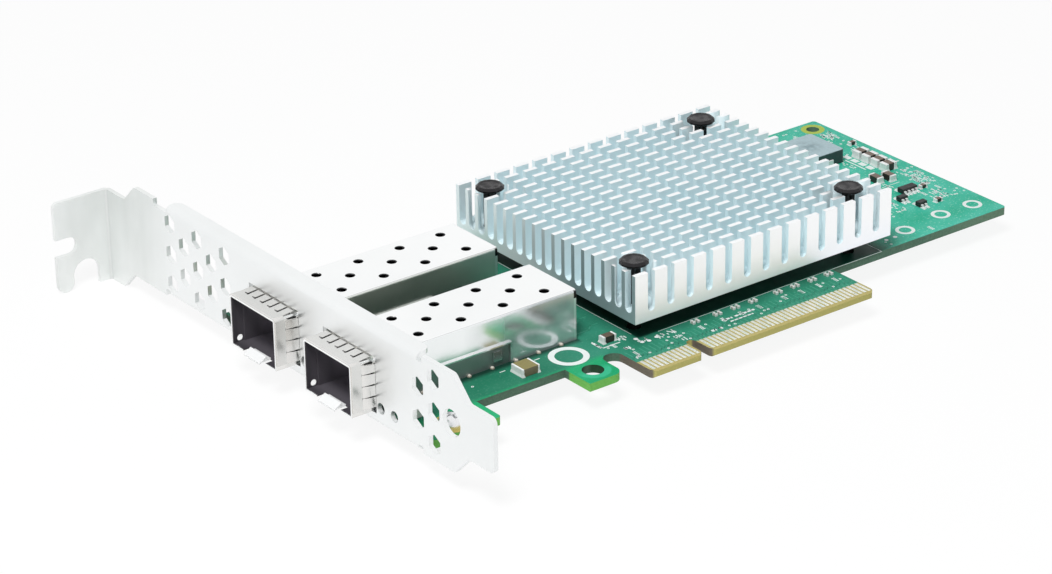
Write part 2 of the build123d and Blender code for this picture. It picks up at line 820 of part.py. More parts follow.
# Moulded power inductor and its two side leads
with BuildPart() as power_inductor:
    with BuildSketch():
        with Locations((inductor_x, inductor_y)):
            RectangleRounded(inductor_size, inductor_size, inductor_corner)
    extrude(amount=inductor_height)
power_inductor.part.label = "power_inductor"
export_step(power_inductor.part, "parts/power_inductor.step")

with BuildPart() as inductor_leads:
    with BuildSketch():
        for side in (-1, 1):
            lead_y = inductor_y + side * (inductor_size + inductor_lead_thickness) / 2
            with Locations((inductor_x, lead_y)):
                Rectangle(inductor_lead_width, inductor_lead_thickness)
    extrude(amount=inductor_lead_height)
inductor_leads.part.label = "inductor_leads"
export_step(inductor_leads.part, "parts/inductor_leads.step")


# Chip capacitors, turned by an angle from X: a ceramic body between two metal terminals
def capacitor_bodies(size, angle, places):
    length, width, height, terminal = size
    with BuildPart() as bodies:
        with BuildSketch():
            with Locations(*[Pos(x, y) * Rot(0, 0, angle) for x, y in places]):
                Rectangle(length - 2 * terminal, width)
        extrude(amount=height)
    return bodies


def capacitor_terminals(size, angle, places):
    length, width, height, terminal = size
    with BuildPart() as terminals:
        with BuildSketch():
            with Locations(*[Pos(x, y) * Rot(0, 0, angle) for x, y in places]):
                with GridLocations(length - terminal, width, 2, 1):
                    Rectangle(terminal, width)
        extrude(amount=height)
    return terminals


# Places counted from the rear edge of the board
def from_rear(spots):
    return [(board_rear - inset, height) for inset, height in spots]


row_start = row_cap_y - row_cap_pitch * (row_cap_count - 1) / 2
row_spots = [(row_cap_inset, row_start + index * row_cap_pitch) for index in range(row_cap_count)]
coupling_places = [
    (start + side * coupling_spread / 2, coupling_y)
    for start in coupling_starts
    for side in (-1, 1)
]
capacitor_sets = {
    "supply_capacitor": (row_cap, 0, from_rear(row_spots)),
    "front_capacitor": (front_cap, 0, front_cap_places),
    "filter_capacitor": (medium_cap, 90, from_rear(filter_cap_spots)),
    "notch_capacitor": (medium_cap, 0, [notch_cap_place]),
    "small_capacitor": (small_cap, 0, from_rear(small_cap_spots)),
    "coupling_capacitor": (tiny_cap, 90, coupling_places),
}
for set_name, (size, angle, places) in capacitor_sets.items():
    bodies = capacitor_bodies(size, angle, places)
    bodies.part.label = f"{set_name}_bodies"
    export_step(bodies.part, f"parts/{set_name}_bodies.step")
    terminals = capacitor_terminals(size, angle, places)
    terminals.part.label = f"{set_name}_terminals"
    export_step(terminals.part, f"parts/{set_name}_terminals.step")


# Moulded chip body held a little off the board by its leads
def chip_body(places, size):
    length, width, height = size
    with BuildPart() as body:
        with BuildSketch(Plane.XY.offset(body_standoff)):
            with Locations(*places):
                Rectangle(length, width)
        extrude(amount=height)
    return body


# Gull-wing leads on both long sides of a chip
def chip_leads(places, size, pitch, per_side):
    length, width, height = size
    level = body_standoff + height / 2
    with BuildPart() as leads:
        for (centre_x, centre_y), side in product(places, (-1, 1)):
            start = centre_y + side * width / 2
            knee = start + side * (lead_reach - lead_foot)
            end = start + side * lead_reach
            first = centre_x - pitch * (per_side - 1) / 2 - lead_width / 2
            for index in range(per_side):
                with BuildSketch(Plane.YZ.offset(first + index * pitch)):
                    with BuildLine():
                        Polyline(
                            (start, level),
                            (knee, level),
                            (knee, lead_thickness),
                            (end, lead_thickness),
                            (end, 0),
                            (knee - side * lead_thickness, 0),
                            (knee - side * lead_thickness, level - lead_thickness),
                            (start, level - lead_thickness),
                            close=True,
                        )
                    make_face()
                extrude(amount=lead_width)
    return leads


chip_sets = {
    "memory_chip": (memory_spots, memory_body, memory_pitch, memory_leads_per_side),
    "regulator": (regulator_spots, regulator_body, regulator_pitch, regulator_leads_per_side),
}
for chip_name, (spots, size, pitch, per_side) in chip_sets.items():
    places = from_rear(spots)
    body = chip_body(places, size)
    body.part.label = f"{chip_name}_body"
    export_step(body.part, f"parts/{chip_name}_body.step")
    leads = chip_leads(places, size, pitch, per_side)
    leads.part.label = f"{chip_name}_leads"
    export_step(leads.part, f"parts/{chip_name}_leads.step")
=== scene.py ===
"""Looks of a dual-port network interface card: finishes, rounded edges, board print and a white studio."""
import math
import random

import bmesh
import bpy
from mathutils import Matrix, Vector


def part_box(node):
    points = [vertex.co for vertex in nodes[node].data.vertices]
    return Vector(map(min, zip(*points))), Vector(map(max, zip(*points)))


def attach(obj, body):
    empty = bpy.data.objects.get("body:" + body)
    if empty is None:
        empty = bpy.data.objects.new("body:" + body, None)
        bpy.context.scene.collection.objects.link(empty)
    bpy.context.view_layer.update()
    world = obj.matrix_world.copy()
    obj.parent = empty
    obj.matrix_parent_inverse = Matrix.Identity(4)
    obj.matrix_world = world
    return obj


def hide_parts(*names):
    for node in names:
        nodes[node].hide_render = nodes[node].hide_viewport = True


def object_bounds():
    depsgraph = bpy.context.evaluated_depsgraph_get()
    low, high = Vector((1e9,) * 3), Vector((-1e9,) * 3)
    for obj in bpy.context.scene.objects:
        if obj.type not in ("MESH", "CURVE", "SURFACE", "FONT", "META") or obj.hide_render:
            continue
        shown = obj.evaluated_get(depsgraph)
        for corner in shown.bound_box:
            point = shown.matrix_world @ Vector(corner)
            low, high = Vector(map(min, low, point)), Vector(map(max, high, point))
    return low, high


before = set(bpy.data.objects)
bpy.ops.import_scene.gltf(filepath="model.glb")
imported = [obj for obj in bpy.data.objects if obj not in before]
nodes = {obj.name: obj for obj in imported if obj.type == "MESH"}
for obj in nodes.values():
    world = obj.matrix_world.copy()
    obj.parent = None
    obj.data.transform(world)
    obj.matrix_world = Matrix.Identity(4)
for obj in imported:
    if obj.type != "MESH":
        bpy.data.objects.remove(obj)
cad_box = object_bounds()

# One millimetre in scene units: every size and place below is in millimetres, every angle in degrees
MM = 0.001

# Camera, matched to the photograph's view of the part
CAMERA_PLACE = (-372.608, -440.271, 284.252)
CAMERA_RIGHT = (0.79360703, -0.60825055, -0.01480354)
CAMERA_FORWARD = (0.54533563, 0.72188786, -0.42601287)
CAMERA_LENS = 124.72
CAMERA_SENSOR = 36.0

# Studio: the light that sky and floor give, and one lamp with its power in watts
SKY_LOW = 0.24
SKY_HIGH = 0.32
SKY_TINT = (0.97, 0.985, 1.0)
FLOOR_SIZE = 6000.0
FLOOR_SHADOW = 0.1
FLOOR_PAPER = (0.96, 0.96, 0.96)
KEY_PLACE = (-323.0, -187.0, 634.0)
KEY_SIZE = 240.0
KEY_POWER = 4.6

# Heat sink fins, as in the part
SINK_BASE = 1.8
FIN_ROWS = 19
FIN_THICKNESS = 0.95
FIN_COLUMNS = 14
FIN_LENGTH = 2.9
GROOVE_STEPS = 6
PIN_PLACES = [(x, y) for x in (-3.75, 47.3) for y in (16.15, 58.65)]
PIN_POCKET = 3.5
PIN_HOLE = 1.35
SPOT_FACE = 0.15

# Push pins: the cap as radius and height from its top, then the two legs
PIN_CAP = (
    (1.1, -1.6), (1.3, -1.35), (2.35, -0.95), (2.75, -0.7), (2.75, -0.42),
    (2.3, 0.0), (1.95, 0.0), (1.7, -0.1), (0.3, -0.12),
)
PIN_FACETS = 14
LEG_DROP = 1.5
LEG_INNER = 0.3
LEG_OUTER = 1.05
LEG_BARB = 1.65
LEG_HALF = 0.65

# Bracket screws, their cross recess and the plated pad round each
SCREW_PLACES = ((-51.65, 6.2), (-51.65, 61.9))
SCREW_SHANK = 1.45
SCREW_HEAD = 2.25
SCREW_RIM = 0.7
DOME_STEPS = 8
CROSS_REACH = 1.3
CROSS_HALF = 0.26
CROSS_DEPTH = 0.8
SCREW_PAD = (1.6, 3.4)

# Ports and the solder tails of their cages
PORT_CENTRES = (48.53, 25.45)
SKIRT_END = -29.68
TAIL_COUNT = 7
TAIL_START = -48.68
TAIL_PITCH = 5.0167
TAIL_ASIDE = 6.52
TAIL_PLACES = [
    (TAIL_START + TAIL_PITCH * step, centre + side * TAIL_ASIDE)
    for step in range(TAIL_COUNT)
    for centre in PORT_CENTRES
    for side in (-1, 1)
]

# Collars: side fingers as place, rise and inset at each edge, the slits between, and the slits on top, where
# plates of painted shade lie, with painted shadow hooks at the top slits' front ends
COLLAR_HALF = 7.0
COLLAR_FOOT = 0.9
COLLAR_TOP = 9.8
COLLAR_SLOT = 0.45
COLLAR_FINGERS = 4
FINGER_UNDER = 0.1
FINGER_BOW = (
    (-61.5, 0.26, 0.03), (-61.0, 0.4, 0.05), (-60.3, 0.58, 0.1), (-59.6, 0.7, 0.16), (-59.08, 0.74, 0.16),
)
SLIT_RISES = ((-60.9, 0.35, 0.06), (-60.3, 0.41, 0.11), (-59.6, 0.48, 0.17), (-59.4, 0.5, 0.17))
CORNER_SLIT_LIFT = 0.1
TOP_FINGERS = 6
TOP_SLIT = (-59.1, -60.9)
TOP_SLIT_WIDTH = 0.26
TOP_SLIT_LEVELS = (-0.05, 0.06)
TOP_HOOK = ((-60.9, 0.0), (-61.2, 0.12), (-61.32, 0.4), (-61.34, 0.8))
TOP_HOOK_WIDTH = 0.1
TOP_HOOK_LEVELS = (0.2, 0.33)

# Solder: profiles as radius and height, above the board or from its back
BOARD_BACK = -1.57
SOLDER_FLARE = 0.12
SOLDER_CLIMB = 0.3
LEAD_SOLDER = 0.06
FOOT_PROFILE = ((0.42, 0.0), (0.4, 0.16), (0.26, 0.34), (0.1, 0.4))
FOOT_ASIDE_FRONT = 0.36
FOOT_ASIDE_REAR = 0.66
JOINT_PROFILE = ((0.5, BOARD_BACK - 0.55), (0.62, BOARD_BACK - 0.3), (0.95, BOARD_BACK))
JOINT_SIDES = 16
BARE_PAD = ((0.42, 0.0), (0.42, 0.02), (0.3, 0.05))
BARE_PAD_SIDES = 20
BARE_PAD_PLACES = ((-6.8, 11.9), (-6.7, 10.2), (-5.4, 9.9), (-3.4, 10.2), (56.2, 15.0), (58.4, 15.0))

# Bevels of the small parts
EDGE_WIDTHS = {
    "power_inductor": 0.3,
    "supply_capacitor_bodies": 0.08,
    "supply_capacitor_terminals": 0.1,
    "front_capacitor_bodies": 0.08,
    "front_capacitor_terminals": 0.1,
    "filter_capacitor_bodies": 0.06,
    "filter_capacitor_terminals": 0.08,
    "notch_capacitor_bodies": 0.06,
    "notch_capacitor_terminals": 0.08,
    "memory_chip_body": 0.08,
    "regulator_body": 0.06,
}

# Board holes and the white print: strips by two corners, rings, and marks of four short bars
HOOK_HOLE = (-20.3, 7.1)
CORNER_HOLE = (81.1, 63.9)
CORNER_RING = (1.32, 2.4)
PRINT_HEIGHT = 0.02
PRINT_STRIPS = (
    (-6.3, 13.9, -6.2, 62.4), (-1.8, 11.7, 52.1, 11.8), (52.0, 11.8, 52.1, 62.4),
    (-33.6, 16.4, -32.4, 16.6), (-26.0, 16.4, -24.8, 16.6), (72.0, 33.4, 76.6, 33.56),
    (75.5, 42.1, 75.8, 48.0), (-13.6, 12.5, -9.8, 12.75), (-14.1, 12.9, -13.6, 15.5),
    (9.8, 7.6, 12.2, 8.1), (12.6, 7.6, 14.2, 8.1), (14.6, 7.6, 17.4, 8.1), (10.6, 6.5, 16.2, 6.85),
)
PRINT_BLOCKS = [(76.3, y, 77.5, y + 1.7) for y in (41.4, 43.6, 45.8, 48.0)]
HOOK_MARK = (-20.3, 13.95, 2.55, 3.7)
REAR_MARKS = [(x, y, 1.2, 1.9) for x, y in ((62.0, 16.1), (72.2, 17.2), (80.1, 16.8))]
BAR_MARKS = [(x, 7.3) for x in (5.2, 10.4, 14.6, 18.8, 24.8, 28.9, 33.1, 37.1)] + [
    (-10.4, 6.6), (-11.6, 11.4), (66.4, 13.0), (80.5, 33.0), (79.6, 31.2),
    (80.8, 26.4), (76.4, 25.6), (62.5, 33.4), (63.0, 44.0), (75.8, 62.0),
]
BAR_COUNT = 4
BAR_PITCH = 0.42
BAR_HALF = 0.35
BAR_DEPTH = 0.22

# Loose flecks of print, as a plan box and how many lie in it
FLECK_CLUSTERS = (
    (-9.6, 12.6, -7.6, 14.4, 8), (-7.2, 10.0, -5.2, 11.6, 9), (-3.4, 9.2, 0.8, 11.2, 16),
    (-1.2, 5.6, 0.6, 8.6, 9), (-12.2, 5.4, -10.4, 7.0, 5), (-11.4, 9.2, -9.0, 10.6, 7),
    (5.2, 5.2, 8.2, 6.3, 8), (79.8, 57.0, 83.0, 61.5, 48), (73.6, 43.6, 75.2, 50.4, 14),
    (79.2, 29.0, 83.2, 38.4, 84), (76.4, 22.2, 80.4, 26.8, 34), (66.4, 22.4, 69.2, 27.6, 20),
    (-14.2, 12.6, -13.4, 16.2, 6), (79.4, 47.0, 82.8, 52.0, 18), (70.6, 31.6, 74.0, 35.2, 14),
)
FLECK_WIDTH = 0.22
FLECK_DEPTH = 0.4
FLECK_SPREAD = 0.5
FLECK_MARGINS = (0.2, 0.8)
FLECK_SEED = 5

# Tracks from the gold fingers and the cages, and plan boxes with their vias to a square millimetre
FINGER_TRACKS = 49
SHORT_TRACKS = 11
SHORT_TRACK_START = -12.1
LONG_TRACK_START = 1.35
TRACK_PITCH = 1.0
TRACK_WIDTH = 0.22
TRACK_FOOT = 4.4
TRACK_TURN = 5.6
TRACK_TURN_SPREAD = 0.5
TRACK_JOG = 0.35
TRACK_END = 8.0
CAGE_TRACKS = 6
CAGE_TRACK_START = 20.0
CAGE_TRACK_PITCH = 3.4
CAGE_TRACK_ROUTE = ((-14.6, 0.0), (-11.0, 0.0), (-9.8, 1.2), (-8.2, 1.2))
CAGE_TRACK_WIDTH = 0.24
TRACK_SEED = 11
VIA_AREAS = (
    (-43.0, 11.0, -33.0, 17.8, 0.02), (-14.0, 11.0, -8.0, 17.8, 0.12), (-11.8, 5.2, 39.0, 9.0, 0.12),
    (-14.4, 19.0, -9.8, 66.0, 0.12), (54.5, 13.0, 59.0, 21.0, 0.15), (54.5, 21.0, 66.0, 46.0, 0.2),
    (54.5, 58.5, 79.0, 66.0, 0.2), (76.0, 48.8, 83.0, 60.0, 0.25), (78.0, 22.0, 83.5, 46.0, 0.3),
)
VIA_RING = (0.12, 0.26)
VIA_HEIGHT = 0.025
VIA_SIDES = 12

# Underside: tracks, the controller's grid of pads and scattered vias
BACK_TRACKS = 40
BACK_TRACK_START = -11.0
BACK_TRACK_PITCH = 1.25
BACK_TRACK_FOOT = 5.0
BACK_KNEE = 12.0
BACK_KNEE_SPREAD = 6.0
BACK_JOG = 3.0
BACK_RUN = 9.0
BACK_TRACK_WIDTH = 0.24
BACK_GRID = 11
BACK_GRID_CORNER = (16.3, 30.9)
BACK_GRID_PITCH = 1.3
BACK_PAD = (0.3, 0.32)
BACK_VIAS = 150
BACK_VIA_CORNER = (-40.0, 13.0)
BACK_VIA_SPREAD = (122.0, 52.0)
BACK_VIA_RING = (0.14, 0.34)
BACK_SEED = 23

# Facets of a full round
ROUND_SIDES = 40

# Stretches of a noise that are drawn out to a whole range
NARROW = (0.35, 0.65)
MIDDLE = (0.3, 0.7)
WIDE = (0.25, 0.75)

# How much longer a grain is along each axis
EVEN = (1.0, 1.0, 1.0)
DRAWN = (5.0, 1.0, 1.0)
ROLLED = (8.0, 1.0, 1.0)
WOVEN = (1.0, 6.0, 1.0)


def colour(red, green, blue):
    return (red, green, blue, 1.0)


def box_of(node):
    """Low and high corner of a CAD node, in millimetres."""
    return [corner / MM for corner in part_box(node)]


class Tree:
    """Short helpers that add nodes to a shader tree, with masks from nothing to one."""

    def __init__(self, tree):
        self.tree = tree

    def add(self, kind, inputs=None, **settings):
        node = self.tree.nodes.new(kind)
        for key, value in settings.items():
            setattr(node, key, value)
        for key, value in (inputs or {}).items():
            self.put(node.inputs[key], value)
        return node

    def put(self, socket, value):
        if isinstance(value, bpy.types.NodeSocket):
            self.tree.links.new(value, socket)
        else:
            socket.default_value = value

    def math(self, operation, first, second=0.0):
        return self.add("ShaderNodeMath", {0: first, 1: second}, operation=operation).outputs[0]

    def mix(self, share, first, second):
        inputs = {0: share, 6: first, 7: second}
        return self.add("ShaderNodeMix", inputs, data_type="RGBA").outputs[2]

    def span(self, value, low, high, to_low=0.0, to_high=1.0):
        """Value taken from low..high to to_low..to_high, held at the ends."""
        inputs = {0: value, 1: low, 2: high, 3: to_low, 4: to_high}
        return self.add("ShaderNodeMapRange", inputs, clamp=True).outputs[0]

    def both(self, first, *others):
        """Where every one of these masks holds."""
        for other in others:
            first = self.math("MULTIPLY", first, other)
        return first

    def either(self, first, *others):
        """Where any one of these masks holds."""
        for other in others:
            first = self.math("MAXIMUM", first, other)
        return first

    def part(self, mask, share):
        """A mask held down to a share of itself."""
        return self.math("MULTIPLY", mask, share)

    def beyond(self, mask):
        """Where a mask doesn't hold."""
        return self.math("SUBTRACT", 1.0, mask)

    def far_from(self, value, middle):
        """How far a value lies from a middle, on either side."""
        return self.math("ABSOLUTE", self.math("SUBTRACT", value, middle))

    def parts(self, vector):
        return self.add("ShaderNodeSeparateXYZ", {0: vector}).outputs

    def seen_directly(self):
        """One for camera, mirror and glass rays, which show the white studio, and nothing for light."""
        path = self.add("ShaderNodeLightPath").outputs
        return self.either(path["Is Camera Ray"], path["Is Glossy Ray"], path["Is Transmission Ray"])


class Look(Tree):
    """A procedural material: one Principled shader and patterns in the part's frame."""

    def __init__(self, name, **settings):
        self.name = name
        self.material = bpy.data.materials.new(name)
        self.material.use_nodes = True
        super().__init__(self.material.node_tree)
        self.shader = self.tree.nodes["Principled BSDF"]
        self.place = self.add("ShaderNodeTexCoord").outputs["Object"]
        self.set(**settings)

    def set(self, **settings):
        for key, value in settings.items():
            socket = key.replace("_", " ").title().replace("Ior", "IOR")
            self.put(self.shader.inputs[socket], value)

    def noise(self, size, detail=2.0, stretch=EVEN):
        """Smooth noise whose features are about that size, longer along the stretched axes."""
        scale = [1.0 / factor for factor in stretch]
        moved = self.add("ShaderNodeMapping", {"Vector": self.place, "Scale": scale})
        inputs = {"Vector": moved.outputs[0], "Scale": 1.0 / (size * MM), "Detail": detail}
        return self.add("ShaderNodeTexNoise", inputs).outputs["Fac"]

    def axes(self):
        """Where a point lies along the part's three axes, in millimetres."""
        scaled = self.add("ShaderNodeVectorMath", {0: self.place, "Scale": 1.0 / MM}, operation="SCALE")
        return self.parts(scaled.outputs[0])

    def facing(self):
        """How far the surface faces along the part's three axes, which turn with it."""
        return self.parts(self.add("ShaderNodeTexCoord").outputs["Normal"])

    def reach(self, x, y):
        """Distance from an upright axis, in millimetres."""
        along, across, _ = self.axes()
        squares = [
            self.math("POWER", self.math("SUBTRACT", place, middle), 2.0)
            for place, middle in ((along, x), (across, y))
        ]
        return self.math("SQRT", self.math("ADD", *squares))

    def relief(self, height, depth, strength=1.0, edge=0.0):
        """Bump from a height pattern of that depth, over edges softened by a radius."""
        inputs = {"Height": height, "Distance": depth * MM, "Strength": strength}
        if edge:
            soft = self.add("ShaderNodeBevel", {"Radius": edge * MM}, samples=4)
            inputs["Normal"] = soft.outputs[0]
        self.set(normal=self.add("ShaderNodeBump", inputs).outputs[0])


def metal(name, dark, light, rough, grain, depth, edge=0.0, stretch=EVEN):
    """Bare or plated metal: slow colour drift, patchy gloss and a fine grain."""
    look = Look(name, metallic=1.0)
    drift = look.span(look.noise(18.0, detail=3.0), *MIDDLE)
    look.set(base_color=look.mix(drift, colour(*dark), colour(*light)))
    gloss = look.noise(grain * 12, stretch=stretch)
    look.set(roughness=look.span(gloss, *WIDE, *rough))
    look.relief(look.noise(grain, detail=3.0, stretch=stretch), depth, strength=0.4, edge=edge)
    return look


def grained(look, rough, grain, depth, edge):
    """Gives a dull body its patchy gloss and fine grain."""
    look.set(roughness=look.span(look.noise(grain * 8), *MIDDLE, *rough))
    look.relief(look.noise(grain), depth, strength=0.5, edge=edge)
    return look


def solid(name, dark, light, rough, grain, depth, edge=0.0, specular=0.5):
    """Plastic, ceramic or moulded powder: mottled colour over a fine grain."""
    look = Look(name, specular_ior_level=specular)
    look.set(base_color=look.mix(look.noise(grain * 4, detail=3.0), colour(*dark), colour(*light)))
    return grained(look, rough, grain, depth, edge)


def topped(name, top, side, rough, grain, depth, edge=0.0, specular=0.4):
    """Small moulded or fired body: one colour on top, and a darker one down its sides as painted shade."""
    look = Look(name, specular_ior_level=specular)
    upright = look.span(look.facing()[2], 0.45, 0.8)
    mottle = look.span(look.noise(grain * 4, detail=3.0), *WIDE, 0.82, 1.0)
    # Painted shade: the sides take the darker colour and the top the lighter one
    lit_top_shaded_sides = look.mix(upright, colour(*side), colour(*top))
    shadow = colour(*[0.5 * part for part in side])
    look.set(base_color=look.mix(mottle, shadow, lit_top_shaded_sides))
    return grained(look, rough, grain, depth, edge)


def mask_colour(look):
    """Solder mask: darker green by the cages as painted shade, paler at the rear as a painted sheen and
    flecked there, brightest on the hook.
    """
    x, y, _ = look.axes()
    cloud = look.span(look.noise(7.0, detail=4.0), *MIDDLE)
    # deep is the mask darkened by painted shade by the cages, and pale is the mask lightened by a painted
    # sheen at the rear
    deep = look.mix(cloud, colour(0.014, 0.170, 0.095), colour(0.026, 0.215, 0.125))
    middle = look.mix(cloud, colour(0.026, 0.215, 0.130), colour(0.044, 0.290, 0.190))
    pale = look.mix(cloud, colour(0.020, 0.430, 0.270), colour(0.085, 0.570, 0.430))
    bright = look.mix(cloud, colour(0.010, 0.350, 0.140), colour(0.022, 0.420, 0.175))
    rear = (50.0, 64.0)
    on_hook = look.both(look.span(y, 11.2, 9.6), look.span(x, -15.0, -16.0))
    flecks = look.both(look.span(look.noise(0.45), 0.60, 0.68), look.span(x, *rear, 0.1, 0.55))
    mask = look.mix(look.span(x, -34.0, -14.0), deep, middle)
    mask = look.mix(look.span(x, *rear), mask, pale)
    mask = look.mix(on_hook, mask, bright)
    return look.mix(flecks, mask, colour(0.420, 0.720, 0.640))


def board_shade(look):
    """Deep shade on the top face: between the cages, under the sink and along the near cage's foot."""
    x, y, z = look.axes()
    by_sink = look.span(x, 55.0, 52.0)
    between = look.both(look.span(y, 31.8, 32.5), look.span(y, 41.5, 41.0), look.span(x, -13.0, -15.0))
    under = look.both(look.span(x, -6.7, -6.0), by_sink, look.span(y, 11.4, 12.1))
    beside = look.both(look.span(x, -9.5, -6.6), by_sink, look.span(y, 8.8, 11.6, 0.0, 0.35))
    foot = look.both(look.span(look.far_from(y, 18.35), 1.6, 0.3), look.span(x, -14.5, -15.0))
    on_top = look.span(z, -0.8, -0.4, 0.0, 0.85)
    return look.both(look.either(between, under, beside, foot), on_top)


def sawn_colour(look, weave, connector_length):
    """Sawn edges: grey-green laminate, bare at the connector, browner down its sides, fresh on the hook, with
    painted shade inside the hook's hole.
    """
    x, y, _ = look.axes()
    tongue = look.mix(weave, colour(0.410, 0.375, 0.110), colour(0.520, 0.485, 0.180))
    side = look.mix(weave, colour(0.120, 0.100, 0.080), colour(0.190, 0.165, 0.130))
    front = look.mix(weave, colour(0.062, 0.115, 0.076), colour(0.108, 0.185, 0.132))
    rear = look.mix(weave, colour(0.060, 0.130, 0.085), colour(0.120, 0.220, 0.160))
    tip = look.mix(weave, colour(0.100, 0.190, 0.120), colour(0.165, 0.270, 0.190))
    fresh = look.mix(weave, colour(0.130, 0.420, 0.075), colour(0.200, 0.540, 0.120))
    # Painted shade inside the hook's hole: its sawn wall is darkened nearly to black
    in_hole = look.span(look.reach(*HOOK_HOLE), 2.4, 2.2)
    fresh = look.mix(in_hole, fresh, colour(0.022, 0.060, 0.030))
    sawn = look.mix(look.span(x, -20.0, 40.0), front, rear)
    sawn = look.mix(look.span(x, 62.0, 76.0), sawn, tip)
    sideways = look.span(look.math("ABSOLUTE", look.facing()[0]), 0.5, 0.8)
    low_edge = look.mix(connector_length, fresh, look.mix(sideways, tongue, side))
    return look.mix(look.span(y, 9.2, 8.8), sawn, low_edge)


def board_look():
    """Green solder mask on the faces, sawn laminate on the edges, bare laminate at the connector."""
    look = Look("green_board", specular_ior_level=0.1)
    x, y, _ = look.axes()
    mask = look.mix(board_shade(look), mask_colour(look), colour(0.002, 0.012, 0.010))
    hook_side = look.span(y, HOOK_HOLE[1] + 1.0, HOOK_HOLE[1] - 1.0)
    hole_rim = look.both(look.span(look.reach(*HOOK_HOLE), 3.4, 3.1), hook_side)
    mask = look.mix(look.part(hole_rim, 0.6), mask, colour(0.060, 0.560, 0.330))
    weave = look.noise(0.35, detail=1.0, stretch=WOVEN)
    laminate = look.mix(weave, colour(0.420, 0.360, 0.130), colour(0.540, 0.470, 0.200))
    connector_length = look.span(x, -13.6, -13.4)
    on_tongue = look.both(look.span(y, 4.6, 4.4), connector_length)
    face = look.span(look.math("ABSOLUTE", look.facing()[2]), 0.3, 0.6)
    edge = sawn_colour(look, weave, connector_length)
    look.set(base_color=look.mix(face, edge, look.mix(on_tongue, mask, laminate)))
    look.set(roughness=look.span(look.noise(2.0), *MIDDLE, 0.34, 0.46))
    look.relief(look.noise(0.6, detail=3.0), depth=0.02, strength=0.35, edge=0.06)
    return look


def bracket_look():
    """Plated steel, whiter on the face; towards the folded tab darker as painted shade, darker still along
    the bend, and a little less metallic.
    """
    look = Look("plated_steel")
    across, along, _ = look.facing()
    drift = look.span(look.noise(40.0), *MIDDLE)
    face = look.mix(drift, colour(0.885, 0.905, 0.905), colour(0.930, 0.945, 0.945))
    patches = look.span(look.noise(9.0, detail=4.0, stretch=(1.0, 1.0, 2.5)), *NARROW)
    # Painted shade: the tab's patchy colour is darker than the face's, and the bend is darker again
    tab = look.mix(patches, colour(0.780, 0.805, 0.790), colour(0.880, 0.900, 0.890))
    bend_shade = look.span(look.math("MULTIPLY", across, along), 0.05, 0.3)
    tab = look.mix(bend_shade, tab, colour(0.715, 0.735, 0.725))
    by_tab = look.span(look.axes()[1], 80.0, 94.0)
    look.set(base_color=look.mix(by_tab, face, tab))
    look.set(metallic=look.span(by_tab, 0.0, 1.0, 0.9, 0.6))
    look.set(roughness=look.span(look.noise(3.0), *MIDDLE, 0.32, 0.42))
    look.relief(look.noise(0.5), depth=0.003, strength=0.3, edge=0.05)
    return look


def port_masks(look):
    """The inside of the ports, and the latch tongue at the mouth of each."""
    x, y, z = look.axes()
    in_port = 0.0
    on_tongue = 0.0
    for centre in PORT_CENTRES:
        off = look.far_from(y, centre)
        between_sides = look.span(off, 6.85, 6.80)
        upper = look.both(between_sides, look.span(z, 8.5, 8.6))
        mouth = look.both(between_sides, look.span(x, -61.1, -61.2))
        in_port = look.either(in_port, look.span(off, 6.50, 6.45), mouth, upper)
        on_tongue = look.either(on_tongue, look.span(off, 2.6, 2.5))
    tongue = look.both(on_tongue, look.span(x, -61.7, -61.8), look.span(z, 1.5, 1.2))
    inside = look.both(look.span(x, -63.6, -63.5), look.span(z, 9.7, 9.6))
    return look.both(inside, in_port, look.beyond(tongue)), tongue


